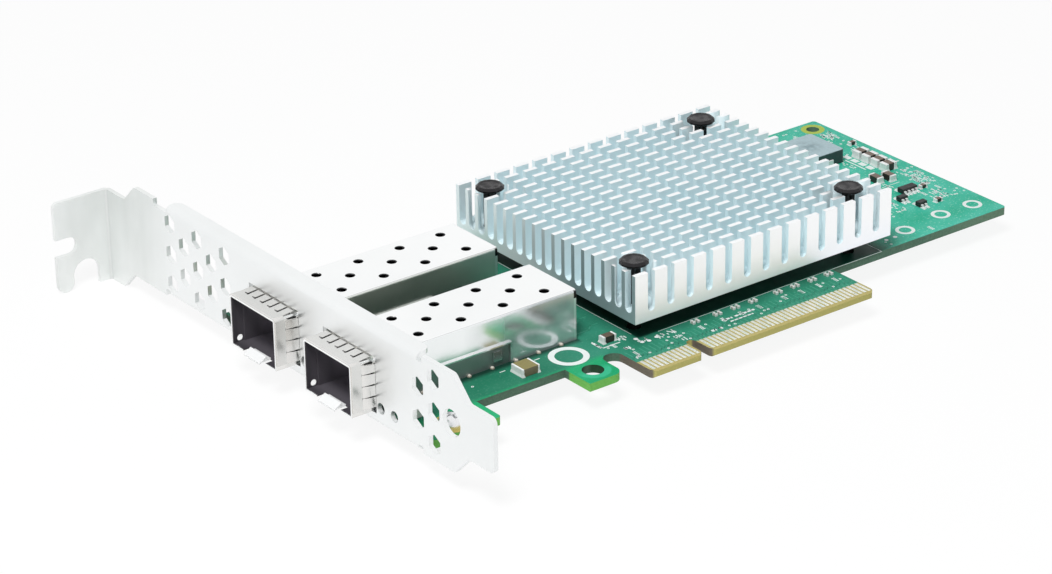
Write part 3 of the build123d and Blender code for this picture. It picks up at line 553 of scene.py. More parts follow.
def cage_look():
    """Bright stamped sheet: duller down its sides, which painted shade also darkens, most towards the rear
    and at the nose; a painted reflection of the board runs along their foot, painted shade lies between the
    cages, and the inside of each port is in deep, flat painted shade.
    """
    look = Look("bright_steel", specular_ior_level=0.15)
    x, y, z = look.axes()
    along = look.facing()[1]
    sideways = look.span(look.math("ABSOLUTE", along), 0.5, 0.9)
    # Painted shade: the rear part of the cages' sides is darkened in blotches
    rear_side_shade = look.both(sideways, look.span(x, -40.0, -30.0))
    nose = look.both(sideways, look.span(x, -59.0, -59.3))
    behind = look.span(x, -58.0, -57.0)
    # Painted reflection of the green board along the foot of the cages' sides
    board_reflection = look.both(look.span(z, 4.05, 3.95), behind, look.span(x, -29.6, -29.7), look.span(along, 0.9, 0.5))
    boss = look.both(look.span(y, 18.62, 18.58), look.span(z, 3.1, 3.0))
    board_reflection = look.both(board_reflection, look.beyond(look.part(boss, 0.6)))
    # Painted shade on the cages' sides that face each other across the gap
    gap_shade = look.both(look.span(y, 31.5, 32.0), look.span(y, 42.0, 41.7), sideways, behind)
    seam = look.both(sideways, look.span(x, -15.6, -15.5))
    slot = look.both(seam, look.span(z, 8.1, 8.2))
    shade, tongue = port_masks(look)

    drift = look.span(look.noise(18.0, detail=3.0), *MIDDLE)
    blotch = look.span(look.noise(5.0, detail=3.0, stretch=(2.0, 1.0, 1.0)), *NARROW)
    flat_steel = look.mix(drift, colour(0.91, 0.925, 0.925), colour(0.955, 0.965, 0.965))
    # Painted shade: the sides take a darker copy of the top's steel
    side_shade_steel = look.mix(drift, colour(0.84, 0.87, 0.87), colour(0.91, 0.93, 0.93))
    rear_side_shade_steel = look.mix(blotch, colour(0.46, 0.50, 0.51), colour(0.74, 0.77, 0.78))
    # Painted shade: the nose's sides are greyer and warmer than the rest of the sheet
    nose_shade_steel = look.mix(blotch, colour(0.76, 0.75, 0.73), colour(0.90, 0.89, 0.87))
    gap_shade_steel = look.mix(drift, colour(0.66, 0.70, 0.66), colour(0.76, 0.78, 0.73))
    steel = look.mix(sideways, flat_steel, side_shade_steel)
    steel = look.mix(rear_side_shade, steel, rear_side_shade_steel)
    steel = look.mix(nose, steel, nose_shade_steel)
    steel = look.mix(look.part(board_reflection, 0.75), steel, colour(0.11, 0.16, 0.15))
    steel = look.mix(gap_shade, steel, gap_shade_steel)
    steel = look.mix(look.part(seam, 0.6), steel, colour(0.96, 0.97, 0.97))
    steel = look.mix(slot, steel, colour(0.02, 0.02, 0.02))
    steel = look.mix(tongue, steel, colour(0.90, 0.91, 0.91))
    # Painted shade inside the ports: dark at the mouth, paler a few millimetres in, near black deeper in
    deep = look.mix(look.span(x, -62.8, -58.5), colour(0.054, 0.050, 0.058), colour(0.165, 0.152, 0.176))
    deep = look.mix(look.span(x, -58.5, -55.5), deep, colour(0.420, 0.390, 0.450))
    deep = look.mix(look.span(x, -54.0, -52.0), deep, colour(0.012, 0.011, 0.013))
    look.set(base_color=look.mix(shade, steel, deep))

    dull = look.either(shade, look.part(tongue, 0.9), look.part(board_reflection, 0.3))
    open_side = look.math("SUBTRACT", look.part(rear_side_shade, 0.28), gap_shade)
    look.set(metallic=look.beyond(look.either(dull, open_side)))
    gloss = look.span(look.noise(4.2, stretch=ROLLED), *WIDE, 0.07, 0.13)
    gloss = look.math("ADD", gloss, look.part(sideways, 0.07))
    gloss = look.math("ADD", gloss, look.part(look.either(gap_shade, board_reflection), 0.2))
    look.set(roughness=look.either(gloss, look.part(shade, 0.8)))
    grain = look.part(look.noise(0.35, detail=3.0, stretch=ROLLED), 0.03)
    waves = look.noise(9.0, detail=1.0)
    look.relief(look.math("ADD", grain, waves), depth=0.1, edge=0.06)
    return look


def sink_look():
    """Clear-anodised aluminium: pale bluish body, milled tops and near faces whiter as painted highlights,
    the end face darker towards its near end as painted shade, a fine drawn grain.
    """
    look = Look("aluminium")
    x, y, z = look.axes()
    across, along, upright = look.facing()
    top = look.both(look.span(upright, 0.7, 0.9), look.span(z, 12.0, 12.4))
    end = look.both(look.span(across, -0.5, -0.9), look.span(x, -7.4, -7.6))
    near = look.both(look.span(along, -0.5, -0.9), look.span(y, 11.3, 11.1))
    drift = look.span(look.noise(14.0, detail=3.0), *MIDDLE)
    body = look.mix(drift, colour(0.780, 0.930, 0.965), colour(0.850, 0.970, 1.0))
    # Painted shade on the end face, darker towards its near end; painted highlight on the near faces, whiter
    # higher up
    end_face_shade = look.mix(look.span(y, 28.0, 46.0), colour(0.290, 0.390, 0.410), colour(0.880, 0.985, 1.0))
    near_face_highlight = look.mix(look.span(z, 3.2, 8.5), colour(0.93, 0.96, 1.0), colour(0.985, 0.995, 1.0))
    body = look.mix(near, look.mix(end, body, end_face_shade), near_face_highlight)
    # Painted highlight: the fin tops are whiter than the body
    look.set(base_color=look.mix(top, body, colour(0.960, 0.975, 0.985)))
    shine = look.either(look.span(z, 3.4, 8.0, 0.25, 0.65), look.span(x, 10.0, 46.0, 0.25, 0.72))
    look.set(metallic=look.math("ADD", look.both(near, shine), 0.2))
    look.set(roughness=look.span(look.noise(1.2, stretch=DRAWN), *WIDE, 0.30, 0.42))
    look.relief(look.noise(0.12, detail=3.0, stretch=DRAWN), depth=0.015, strength=0.4, edge=0.06)
    return look


def glass_look():
    """Clear moulded lens with faint flow marks."""
    look = Look("clear_lens", transmission_weight=0.85, ior=1.49)
    look.set(base_color=look.mix(look.noise(0.6), colour(0.86, 0.89, 0.86), colour(0.95, 0.97, 0.95)))
    look.set(roughness=look.span(look.noise(0.4), *MIDDLE, 0.04, 0.12))
    return look


def ferrite_look():
    """Pressed powder block: pale skin on top with a darker, scuffed patch in its middle, dark down its sides,
    partly its own darker body and partly painted shade.
    """
    look = topped(
        "grey_ferrite", (0.46, 0.60, 0.64), (0.025, 0.055, 0.055),
        rough=(0.45, 0.6), grain=0.12, depth=0.02, edge=0.1,
    )
    low, high = box_of("power_inductor")
    middle = (low + high) / 2
    patch = look.span(look.reach(middle.x, middle.y), 3.6, 0.8)
    scuffs = look.span(look.noise(1.4, detail=3.0), 0.35, 0.6)
    on_top = look.span(look.axes()[2], high.z - 0.3, high.z - 0.2, 0.0, 0.75)
    skin = look.shader.inputs["Base Color"].links[0].from_socket
    look.set(base_color=look.mix(look.both(patch, scuffs, on_top), skin, colour(0.20, 0.29, 0.32)))
    return look


def nylon_look():
    """Black moulded nylon: soft sheen in patches, deeper down its sides as painted shade."""
    look = topped(
        "black_nylon", (0.024, 0.023, 0.025), (0.003, 0.003, 0.003),
        rough=(0.24, 0.40), grain=0.15, depth=0.006, edge=0.05, specular=0.22,
    )
    look.set(roughness=look.span(look.noise(1.3), 0.40, 0.65, 0.55, 0.16))
    return look


finishes = [
    bracket_look(),
    cage_look(),
    sink_look(),
    board_look(),
    glass_look(),
    nylon_look(),
    ferrite_look(),
    metal(
        "spring_steel", (0.74, 0.73, 0.71), (0.84, 0.83, 0.81),
        rough=(0.16, 0.26), grain=0.2, depth=0.005, edge=0.05, stretch=(6.0, 1.0, 1.0),
    ),
    metal(
        "screw_steel", (0.78, 0.79, 0.80), (0.88, 0.89, 0.90),
        rough=(0.2, 0.32), grain=0.2, depth=0.01, edge=0.06,
    ),
    metal(
        "gold", (0.97, 0.95, 0.82), (1.0, 0.99, 0.93),
        rough=(0.2, 0.34), grain=0.12, depth=0.006, edge=0.02,
    ),
    metal(
        "pad_gold", (0.56, 0.46, 0.10), (0.68, 0.57, 0.17),
        rough=(0.25, 0.4), grain=0.12, depth=0.006, edge=0.02,
    ),
    topped(
        "solder", (0.94, 0.95, 0.95), (0.78, 0.81, 0.80),
        rough=(0.3, 0.45), grain=0.3, depth=0.015, edge=0.05, specular=0.5,
    ),
    topped(
        "foot_solder", (0.72, 0.66, 0.58), (0.30, 0.27, 0.22),
        rough=(0.3, 0.45), grain=0.3, depth=0.01, edge=0.04, specular=0.5,
    ),
    topped(
        "tan_ceramic", (0.290, 0.250, 0.090), (0.175, 0.145, 0.090),
        rough=(0.3, 0.45), grain=0.12, depth=0.008, edge=0.08,
    ),
    topped(
        "pale_ceramic", (0.66, 0.66, 0.62), (0.42, 0.41, 0.36),
        rough=(0.3, 0.45), grain=0.1, depth=0.008, edge=0.03,
    ),
    topped(
        "brown_ceramic", (0.150, 0.105, 0.075), (0.030, 0.026, 0.022),
        rough=(0.3, 0.45), grain=0.1, depth=0.008, edge=0.05,
    ),
    solid(
        "yellow_mask", (0.34, 0.46, 0.03), (0.44, 0.56, 0.06),
        rough=(0.4, 0.5), grain=0.3, depth=0.004,
    ),
    solid(
        "black_plastic", (0.012, 0.012, 0.013), (0.02, 0.02, 0.021),
        rough=(0.4, 0.55), grain=0.1, depth=0.01, edge=0.05,
    ),
    solid(
        "white_plastic", (0.80, 0.80, 0.77), (0.88, 0.88, 0.86),
        rough=(0.35, 0.5), grain=0.12, depth=0.008, edge=0.08,
    ),
    solid(
        "chip_carrier", (0.03, 0.17, 0.10), (0.04, 0.22, 0.13),
        rough=(0.35, 0.5), grain=0.15, depth=0.008, edge=0.05,
    ),
    solid(
        "silicon", (0.05, 0.055, 0.07), (0.08, 0.085, 0.10),
        rough=(0.12, 0.2), grain=0.6, depth=0.002, edge=0.03,
    ),
    solid(
        "thermal_pad", (0.42, 0.44, 0.46), (0.50, 0.52, 0.54),
        rough=(0.6, 0.75), grain=0.3, depth=0.03, edge=0.1,
    ),
    solid(
        "chip_plastic", (0.008, 0.009, 0.010), (0.016, 0.017, 0.018),
        rough=(0.5, 0.65), grain=0.08, depth=0.01, edge=0.05,
    ),
    solid(
        "slit_shade", (0.006, 0.006, 0.006), (0.010, 0.010, 0.010),
        rough=(0.6, 0.8), grain=0.2, depth=0.004,
    ),
    solid(
        "white_print", (0.78, 0.84, 0.82), (0.88, 0.92, 0.91),
        rough=(0.5, 0.65), grain=0.2, depth=0.004,
    ),
    solid(
        "trace_mask", (0.050, 0.300, 0.190), (0.070, 0.360, 0.240),
        rough=(0.34, 0.46), grain=0.5, depth=0.004, specular=0.2,
    ),
]
looks = {look.name: look for look in finishes}


def slot_of(node):
    """The material slot of a CAD node, which is also the name of its look."""
    return nodes[node].material_slots[0].material.name.split(".")[0]


for name, node in nodes.items():
    node.material_slots[0].material = looks[slot_of(name)].material
nodes["coupling_capacitor_bodies"].material_slots[0].material = looks["pale_ceramic"].material


class Shape:
    """Mesh under construction, in millimetres in the part's frame."""

    def __init__(self):
        self.mesh = bmesh.new()

    def face(self, points):
        vertices = [self.mesh.verts.new(Vector(point) * MM) for point in points]
        return self.mesh.faces.new(vertices)

    def strip(self, first, second):
        """Quads between two rows of points."""
        for a, b, c, d in zip(first, first[1:], second[1:], second):
            self.face((a, b, c, d))

    def hull(self, bottom, top):
        """Solid between two outlines of as many points."""
        self.face(bottom[::-1])
        self.face(top)
        self.strip(bottom + bottom[:1], top + top[:1])

    def prism(self, outline, low, high):
        """Upright solid on a plan outline."""
        self.hull([(x, y, low) for x, y in outline], [(x, y, high) for x, y in outline])

    def lathe(self, profile, x, y, sides=ROUND_SIDES):
        """Solid turned round an upright axis, from a profile of radius and height, bottom first."""
        turns = [math.tau * step / sides for step in range(sides)]
        rings = [
            [(x + radius * math.cos(a), y + radius * math.sin(a), height) for a in turns]
            for radius, height in profile
        ]
        self.face(rings[0][::-1])
        self.face(rings[-1])
        for lower, upper in zip(rings, rings[1:]):
            self.strip(lower + lower[:1], upper + upper[:1])

    def plate(self, left, near, right, far, low=0.0, high=PRINT_HEIGHT):
        """Upright box between two plan corners."""
        self.prism([(left, near), (right, near), (right, far), (left, far)], low, high)

    def ring(self, x, y, inner, outer, low=0.0, high=PRINT_HEIGHT, sides=ROUND_SIDES):
        """Flat washer."""
        turns = [math.tau * step / sides for step in range(sides + 1)]
        rows = [
            [(x + radius * math.cos(a), y + radius * math.sin(a), level) for a in turns]
            for radius, level in ((inner, low), (outer, low), (outer, high), (inner, high), (inner, low))
        ]
        for first, second in zip(rows, rows[1:]):
            self.strip(first, second)

    def path(self, points, width, low=0.0, high=PRINT_HEIGHT):
        """Track of that width along plan points, as short straight boxes."""
        for (x0, y0), (x1, y1) in zip(points, points[1:]):
            reach = math.hypot(x1 - x0, y1 - y0)
            dx, dy = (x1 - x0) / reach * width / 2, (y1 - y0) / reach * width / 2
            corners = [(x0 - dx - dy, y0 - dy + dx), (x0 - dx + dy, y0 - dy - dx)]
            corners += [(x1 + dx + dy, y1 + dy - dx), (x1 + dx - dy, y1 + dy + dx)]
            self.prism(corners, low, high)

    def slab(self, profile, near, far):
        """Solid between two upright planes, from an outline along and up."""
        front = [(x, near, z) for x, z in profile]
        back = [(x, far, z) for x, z in profile]
        self.face(front)
        self.face(back[::-1])
        self.strip(front + front[:1], back + back[:1])

    def blade(self, profile, wall, side, low, high):
        """Raised strip on an upright wall, from rows of place, rise and inset at its two edges."""
        under = wall + side * FINGER_UNDER
        rows = [
            [(x, wall + side * rise, low + inset) for x, rise, inset in profile],
            [(x, wall + side * rise, high - inset) for x, rise, inset in profile],
            [(x, under, high - inset) for x, rise, inset in profile],
            [(x, under, low + inset) for x, rise, inset in profile],
        ]
        for first, second in zip(rows, rows[1:] + rows[:1]):
            self.strip(first, second)
        self.face([row[0] for row in rows])
        self.face([row[-1] for row in rows][::-1])

    def finish(self, name, slot, smooth=30.0, look=None):
        bmesh.ops.remove_doubles(self.mesh, verts=self.mesh.verts, dist=1e-7)
        bmesh.ops.recalc_face_normals(self.mesh, faces=self.mesh.faces)
        data = bpy.data.meshes.new(name)
        self.mesh.to_mesh(data)
        self.mesh.free()
        return piece(name, data, slot, smooth, look)


def piece(name, data, slot, smooth=30.0, look=None):
    """A new object on the part's one body, with its slot's finish or a finer one of its own."""
    data.polygons.foreach_set("use_smooth", [True] * len(data.polygons))
    data.set_sharp_from_angle(angle=math.radians(smooth))
    made = bpy.data.objects.new(name, data)
    bpy.context.scene.collection.objects.link(made)
    made.data.materials.clear()
    made.data.materials.append(looks[look or slot].material)
    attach(made, "root")
    return made


def round_edges(made, width, segments=2, angle=30.0):
    """Rounds every edge sharper than angle by a bevel of that width."""
    bevel = made.modifiers.new("rounded", "BEVEL")
    bevel.width = width * MM
    bevel.segments = segments
    bevel.limit_method = "ANGLE"
    bevel.angle_limit = math.radians(angle)
    bevel.use_clamp_overlap = False
    bevel.harden_normals = True


def settle(made):
    """Bakes an object's modifiers into its mesh."""
    graph = bpy.context.evaluated_depsgraph_get()
    graph.update()
    data = bpy.data.meshes.new_from_object(made.evaluated_get(graph))
    made.modifiers.clear()
    made.data = data


def carve(made, cutter):
    """Cuts one mesh out of another and drops the cutter."""
    cut = made.modifiers.new("cut", "BOOLEAN")
    cut.operation = "DIFFERENCE"
    cut.solver = "EXACT"
    cut.object = cutter
    settle(made)
    bpy.data.objects.remove(cutter)


def welded(node):
    """A CAD node's mesh with its doubled corners joined."""
    mesh = bmesh.new()
    mesh.from_mesh(nodes[node].data)
    bmesh.ops.remove_doubles(mesh, verts=mesh.verts, dist=1e-7)
    return mesh


def soften(node, width):
    """Puts a stand-in with the same form and rounded edges in a CAD node's place."""
    mesh = welded(node)
    bmesh.ops.dissolve_limit(
        mesh, angle_limit=math.radians(1.0), verts=mesh.verts, edges=mesh.edges
    )
    data = bpy.data.meshes.new(node + "_rounded")
    mesh.to_mesh(data)
    mesh.free()
    made = piece(node + "_rounded", data, slot_of(node))
    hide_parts(node)
    round_edges(made, width)


def islands(node):
    """Boxes, in millimetres, of the separate solids of a CAD node."""
    mesh = welded(node)
    left = set(mesh.verts)
    boxes = []
    while left:
        edge = [left.pop()]
        group = list(edge)
        while edge:
            vertex = edge.pop()
            near = {link.other_vert(vertex) for link in vertex.link_edges} & left
            left -= near
            edge += near
            group += near
        places = [vertex.co / MM for vertex in group]
        low = [min(place[axis] for place in places) for axis in range(3)]
        high = [max(place[axis] for place in places) for axis in range(3)]
        boxes.append((low, high))
    mesh.free()
    return sorted(boxes)


def make_heat_sink():
    """Cross-cut sink: fins with round-bottomed grooves both ways, spot-faced at the push pins."""
    low, high = box_of("heat_sink")
    floor = low.z + SINK_BASE
    turns = [math.pi * step / GROOVE_STEPS for step in range(GROOVE_STEPS + 1)]

    def stretches(start, end, count, fin):
        """Place, place, height, height along one direction: fins and the steps of the grooves between."""
        pitch = (end - start - fin) / (count - 1)
        radius = (pitch - fin) / 2
        made = []
        for index in range(count):
            left = start + index * pitch
            made.append((left, left + fin, high.z, high.z))
            middle = left + fin + radius
            arc = [(middle - radius * math.cos(a), floor + radius - radius * math.sin(a)) for a in turns]
            if index < count - 1:
                made += [(a[0], b[0], a[1], b[1]) for a, b in zip(arc, arc[1:])]
        return made

    columns = stretches(low.x, high.x, FIN_COLUMNS, FIN_LENGTH)
    rows = stretches(low.y, high.y, FIN_ROWS, FIN_THICKNESS)
    xs = [column[0] for column in columns] + [high.x]
    ys = [row[0] for row in rows] + [high.y]
    levels = {}
    for i, column in enumerate(columns):
        for j, row in enumerate(rows):
            for a in (0, 1):
                for b in (0, 1):
                    levels.setdefault((i + a, j + b), set()).add(min(column[2 + a], row[2 + b]))

    def riser(i, j, start, end):
        """Points up or down one upright grid line, with every level that meets it between."""
        between = [z for z in levels[i, j] if min(start, end) < z < max(start, end)]
        ordered = sorted(between, reverse=end < start)
        heights = [start] + ordered + ([end] if end != start else [])
        return [(xs[i], ys[j], z) for z in heights]

    shape = Shape()

    def wall(i, j, k, m, first, second):
        """Upright face between two grid lines, each given by its two heights."""
        points = riser(i, j, *first) + riser(k, m, *second)
        if len(points) > 2:
            shape.face(points)

    for i, column in enumerate(columns):
        for j, row in enumerate(rows):
            corners = ((0, 0), (1, 0), (1, 1), (0, 1))
            shape.face([(xs[i + a], ys[j + b], min(column[2 + a], row[2 + b])) for a, b in corners])
    for i in range(len(columns) + 1):
        for j, row in enumerate(rows):
            left = columns[i - 1][3] if i else low.z
            right = columns[i][2] if i < len(columns) else low.z
            first = (min(right, row[2]), min(left, row[2]))
            second = (min(left, row[3]), min(right, row[3]))
            wall(i, j, i, j + 1, first, second)
    for j in range(len(rows) + 1):
        for i, column in enumerate(columns):
            near = rows[j - 1][3] if j else low.z
            far = rows[j][2] if j < len(rows) else low.z
            first = (min(far, column[2]), min(near, column[2]))
            second = (min(near, column[3]), min(far, column[3]))
            wall(i, j, i + 1, j, first, second)
    rim = [(x, low.y) for x in xs] + [(high.x, y) for y in ys[1:]]
    rim += [(x, high.y) for x in xs[-2::-1]] + [(low.x, y) for y in ys[-2:0:-1]]
    shape.face([(x, y, low.z) for x, y in rim])
    sink = shape.finish("heat_sink_finned", "aluminium", smooth=25.0)
    cutter = Shape()
    seat = floor - SPOT_FACE
    steps = [(PIN_HOLE, low.z - 1), (PIN_HOLE, seat), (PIN_POCKET, seat), (PIN_POCKET, high.z + 1)]
    for x, y in PIN_PLACES:
        cutter.lathe(steps, x, y)
    carve(sink, cutter.finish("pin_pockets", "aluminium"))
    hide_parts("heat_sink")


def make_solder():
    """Solder fillets round the small parts' terminals, bare pads, and rings and cones at the cage tails."""
    shape = Shape()
    for node in nodes:
        if not node.endswith(("terminals", "leads")) or node.startswith("coupling"):
            continue
        for low, high in islands(node):
            top = LEAD_SOLDER if "leads" in node else SOLDER_CLIMB * high[2]
            corners = ((0, 0), (1, 0), (1, 1), (0, 1))
            crown = [((low, high)[a][0], (low, high)[b][1], top) for a, b in corners]
            foot = [
                (x + SOLDER_FLARE * (2 * a - 1), y + SOLDER_FLARE * (2 * b - 1), 0.0)
                for (x, y, _), (a, b) in zip(crown, corners)
            ]
            shape.hull(foot, crown)
    feet = Shape()
    for x, y in TAIL_PLACES:
        centre = min(PORT_CENTRES, key=lambda port: abs(port - y))
        aside = FOOT_ASIDE_REAR if x > SKIRT_END else FOOT_ASIDE_FRONT
        feet.lathe(FOOT_PROFILE, x, y + math.copysign(aside, y - centre), JOINT_SIDES)
        shape.lathe(JOINT_PROFILE, x, y, JOINT_SIDES)
    for x, y in BARE_PAD_PLACES:
        shape.lathe(BARE_PAD, x, y, BARE_PAD_SIDES)
    shape.finish("solder_joints", "solder", smooth=35.0)
    feet.finish("cage_foot_solder", "solder", smooth=35.0, look="foot_solder")


def make_collar_fingers():
    """Sprung fingers down both sides of each collar, bowed out to the bracket, with plates of painted shade
    in the slits between them and on top, and painted shadow hooks at the top slits' front ends.
    """
    fingers = Shape()
    # Plates of painted shade in the slits, and painted shadow lines for the hooks
    slits = Shape()
    pitch = (COLLAR_TOP - COLLAR_FOOT) / COLLAR_FINGERS
    for centre in PORT_CENTRES:
        for side in (-1, 1):
            wall = centre + side * COLLAR_HALF
            for index in range(COLLAR_FINGERS):
                low = COLLAR_FOOT + index * pitch
                high = min(low + pitch, COLLAR_TOP - COLLAR_SLOT)
                fingers.blade(FINGER_BOW, wall, side, low, high)
                slit = high if index < COLLAR_FINGERS - 1 else high + CORNER_SLIT_LIFT
                widening = [(x, rise, -half) for x, rise, half in SLIT_RISES]
                slits.blade(widening, wall, side, slit, slit)
        for index in range(1, TOP_FINGERS):
            place = centre + (index / TOP_FINGERS - 0.5) * 2 * COLLAR_HALF
            low, high = (COLLAR_TOP + level for level in TOP_SLIT_LEVELS)
            slits.path([(x, place) for x in TOP_SLIT], TOP_SLIT_WIDTH, low, high)
            low, high = (COLLAR_TOP + level for level in TOP_HOOK_LEVELS)
            slits.path([(x, place + aside) for x, aside in TOP_HOOK], TOP_HOOK_WIDTH, low, high)
    slot = slot_of("emi_collar_1")
    fingers.finish("collar_fingers", slot, smooth=40.0)
    slits.finish("collar_slits", slot, smooth=1.0, look="slit_shade")


def make_print():
    """White print: the sink's outline, plain rings, and strips, bars and flecks with no wording."""
    shape = Shape()
    for strip in (*PRINT_STRIPS, *PRINT_BLOCKS):
        shape.plate(*strip)
    for mark in (HOOK_MARK, *REAR_MARKS):
        shape.ring(*mark)
    for x, y in BAR_MARKS:
        for step in range(BAR_COUNT):
            near = y + BAR_PITCH * step
            shape.plate(x - BAR_HALF, near, x + BAR_HALF, near + BAR_DEPTH)
    dice = random.Random(FLECK_SEED)
    for left, near, right, far, count in FLECK_CLUSTERS:
        for _ in range(count):
            x = left + (right - left - FLECK_MARGINS[0]) * dice.random()
            y = near + (far - near - FLECK_MARGINS[1]) * dice.random()
            shape.plate(x, y, x + FLECK_WIDTH, y + FLECK_DEPTH + FLECK_SPREAD * dice.random())
    shape.finish("board_print", "white_plastic", smooth=1.0, look="white_print")


def make_rings():
    """Plated rings at the two bracket screws and a painted one at the rear corner hole."""
    shape = Shape()
    for x, y in SCREW_PLACES:
        shape.ring(x, y, *SCREW_PAD)
    shape.finish("plated_rings", "gold", smooth=1.0, look="pad_gold")
    ring = Shape()
    ring.ring(*CORNER_HOLE, *CORNER_RING)
    ring.finish("corner_ring", "green_board", smooth=1.0, look="yellow_mask")


def make_traces():
    """Copper tracks and via rings that show through the solder mask."""
    shape = Shape()
    dice = random.Random(TRACK_SEED)
    for step in range(FINGER_TRACKS):
        x = SHORT_TRACK_START + step * TRACK_PITCH
        if step >= SHORT_TRACKS:
            x = LONG_TRACK_START + (step - SHORT_TRACKS) * TRACK_PITCH
        turn = TRACK_TURN + TRACK_TURN_SPREAD * dice.random()
        aside = x + TRACK_JOG
        end = TRACK_END + dice.random()
        shape.path([(x, TRACK_FOOT), (x, turn), (aside, turn + TRACK_JOG), (aside, end)], TRACK_WIDTH)
    for step in range(CAGE_TRACKS):
        y = CAGE_TRACK_START + CAGE_TRACK_PITCH * step
        shape.path([(x, y + aside) for x, aside in CAGE_TRACK_ROUTE], CAGE_TRACK_WIDTH)
    shape.finish("board_traces", "green_board", smooth=1.0, look="trace_mask")
    vias = Shape()
    for left, near, right, far, share in VIA_AREAS:
        for _ in range(int(share * (right - left) * (far - near))):
            x = left + (right - left) * dice.random()
            y = near + (far - near) * dice.random()
            vias.ring(x, y, *VIA_RING, 0.0, VIA_HEIGHT, VIA_SIDES)
    vias.finish("board_vias", "solder", smooth=1.0, look="white_print")


def make_back():
    """Underside of the board: tracks, vias and bare test pads."""
    shape = Shape()
    dice = random.Random(BACK_SEED)
    low, high = BOARD_BACK - PRINT_HEIGHT, BOARD_BACK
    for step in range(BACK_TRACKS):
        x = BACK_TRACK_START + BACK_TRACK_PITCH * step
        knee = BACK_KNEE + BACK_KNEE_SPREAD * dice.random()
        aside = x + BACK_JOG
        route = [(x, BACK_TRACK_FOOT), (x, knee), (aside, knee + BACK_JOG), (aside, knee + BACK_RUN)]
        shape.path(route, BACK_TRACK_WIDTH, low, high)
    shape.finish("back_traces", "green_board", smooth=1.0, look="trace_mask")
    pads = Shape()
    for row in range(BACK_GRID):
        for column in range(BACK_GRID):
            x = BACK_GRID_CORNER[0] + BACK_GRID_PITCH * column
            y = BACK_GRID_CORNER[1] + BACK_GRID_PITCH * row
            pads.lathe(list(zip(BACK_PAD, (low, high))), x, y, VIA_SIDES)
    for _ in range(BACK_VIAS):
        x = BACK_VIA_CORNER[0] + BACK_VIA_SPREAD[0] * dice.random()
        y = BACK_VIA_CORNER[1] + BACK_VIA_SPREAD[1] * dice.random()
        pads.ring(x, y, *BACK_VIA_RING, low, high, VIA_SIDES)
    pads.finish("back_pads", "solder")


def make_pins():
    """Push pins: thin faceted caps, tapered underneath, on split legs with barbs below the board."""
    low, high = box_of("push_pins")
    leg_top = high.z - LEG_DROP
    leg = [(LEG_INNER, leg_top), (LEG_OUTER, leg_top), (LEG_OUTER, BOARD_BACK), (LEG_BARB, BOARD_BACK)]
    leg += [(LEG_OUTER, low.z), (LEG_INNER, low.z)]
    shape = Shape()
    for x, y in PIN_PLACES:
        shape.lathe([(radius, high.z + drop) for radius, drop in PIN_CAP], x, y, PIN_FACETS)
        for side in (-1, 1):
            shape.slab([(x + side * off, z) for off, z in leg], y - LEG_HALF, y + LEG_HALF)
    pins = shape.finish("push_pins_capped", "black_nylon", smooth=12.0)
    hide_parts("push_pins")


def make_screws():
    """Domed screw heads with a cross recess, on plain shanks."""
    low, high = box_of("bracket_screws")
    dome = [(SCREW_SHANK, low.z), (SCREW_SHANK, 0.0), (SCREW_HEAD, 0.0), (SCREW_HEAD, SCREW_RIM)]
    for step in range(1, DOME_STEPS):
        turn = math.pi / 2 * step / DOME_STEPS
        rise = (high.z - SCREW_RIM) * math.sin(turn)
        dome.append((SCREW_HEAD * math.cos(turn), SCREW_RIM + rise))
    shape = Shape()
    for x, y in SCREW_PLACES:
        shape.lathe(dome, x, y)
    screws = shape.finish("bracket_screws_domed", "screw_steel", smooth=40.0)
    for name, along, across in (
        ("cross_long", CROSS_REACH, CROSS_HALF),
        ("cross_short", CROSS_HALF, CROSS_REACH),
    ):
        cross = Shape()
        for x, y in SCREW_PLACES:
            corners = (x - along, y - across, x + along, y + across)
            cross.plate(*corners, high.z - CROSS_DEPTH, high.z + 1)
        carve(screws, cross.finish(name, "screw_steel"))
    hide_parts("bracket_screws")


make_heat_sink()
make_solder()
for name, width in EDGE_WIDTHS.items():
    soften(name, width)
make_collar_fingers()
make_print()
make_rings()
make_traces()
make_back()
make_pins()
make_screws()


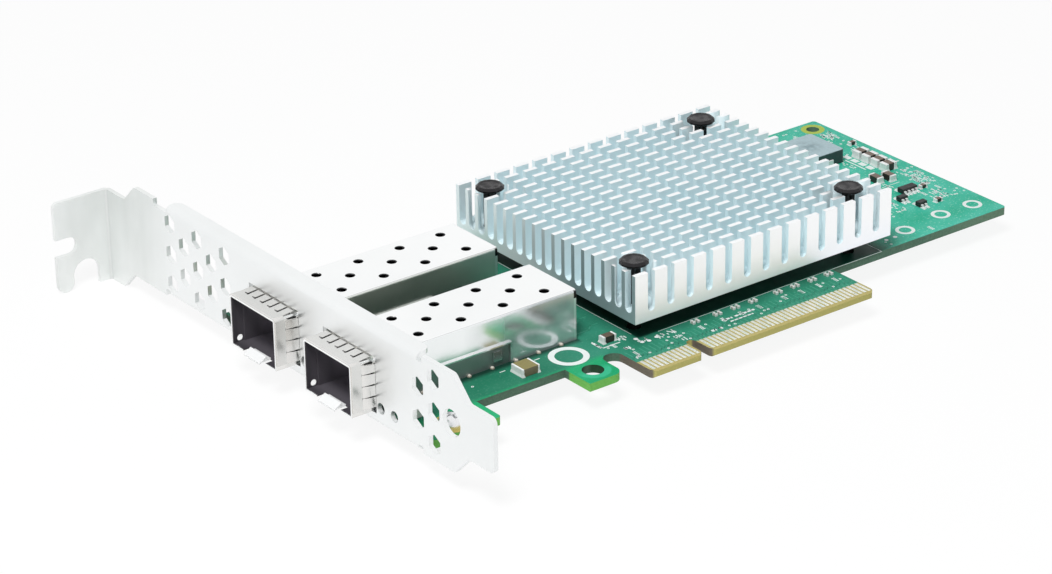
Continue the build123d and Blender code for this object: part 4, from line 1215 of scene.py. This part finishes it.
def make_floor():
    """White floor under the part: seen as white, while it still takes a soft shadow."""
    half = FLOOR_SIZE / 2
    level = cad_box[0].z / MM
    shape = Shape()
    shape.face([(-half, -half, level), (half, -half, level), (half, half, level), (-half, half, level)])
    data = bpy.data.meshes.new("floor")
    shape.mesh.to_mesh(data)
    shape.mesh.free()
    floor = bpy.data.objects.new("floor", data)
    bpy.context.scene.collection.objects.link(floor)
    look = Look("floor")
    white = look.add("ShaderNodeEmission", {"Strength": 1.0})
    paper = look.add("ShaderNodeBsdfDiffuse", {"Color": colour(*FLOOR_PAPER)})
    share = look.part(look.seen_directly(), 1.0 - FLOOR_SHADOW)
    blend = look.add("ShaderNodeMixShader", {0: share, 1: paper.outputs[0], 2: white.outputs[0]})
    look.put(look.tree.nodes["Material Output"].inputs[0], blend.outputs[0])
    floor.data.materials.append(look.material)


def make_sky():
    """White surroundings, with less light than they show."""
    world = bpy.data.worlds.new("studio")
    bpy.context.scene.world = world
    world.use_nodes = True
    sky = Tree(world.node_tree)
    light = sky.tree.nodes["Background"]
    light.inputs[0].default_value = colour(*SKY_TINT)
    height = sky.parts(sky.add("ShaderNodeTexCoord").outputs["Generated"])[2]
    sky.put(light.inputs[1], sky.span(height, 0.0, 1.0, SKY_LOW, SKY_HIGH))
    shown = sky.add("ShaderNodeBackground", {0: colour(1.0, 1.0, 1.0), 1: 1.0})
    inputs = {0: sky.seen_directly(), 1: light.outputs[0], 2: shown.outputs[0]}
    blend = sky.add("ShaderNodeMixShader", inputs)
    sky.put(sky.tree.nodes["World Output"].inputs[0], blend.outputs[0])


def make_lamp(name, place, size, power):
    """Soft square lamp that points at the part's middle."""
    data = bpy.data.lights.new(name, "AREA")
    data.size = size * MM
    data.energy = power
    lamp = bpy.data.objects.new(name, data)
    bpy.context.scene.collection.objects.link(lamp)
    lamp.location = Vector(place) * MM
    aim = (cad_box[0] + cad_box[1]) / 2 - lamp.location
    lamp.rotation_euler = aim.to_track_quat("-Z", "Y").to_euler()
    lamp.visible_glossy = False


def make_camera():
    """Camera at the photograph's place, turned as it was."""
    data = bpy.data.cameras.new("camera")
    data.lens = CAMERA_LENS
    data.sensor_width = CAMERA_SENSOR
    data.sensor_fit = "HORIZONTAL"
    camera = bpy.data.objects.new("camera", data)
    bpy.context.scene.collection.objects.link(camera)
    right = Vector(CAMERA_RIGHT).normalized()
    back = -Vector(CAMERA_FORWARD).normalized()
    up = back.cross(right)
    turn = Matrix((right, up, back)).transposed().to_4x4()
    camera.matrix_world = Matrix.Translation(Vector(CAMERA_PLACE) * MM) @ turn
    bpy.context.scene.camera = camera


make_floor()
make_sky()
make_lamp("key_lamp", KEY_PLACE, KEY_SIZE, KEY_POWER)
make_camera()
bpy.context.scene.view_settings.view_transform = "Standard"
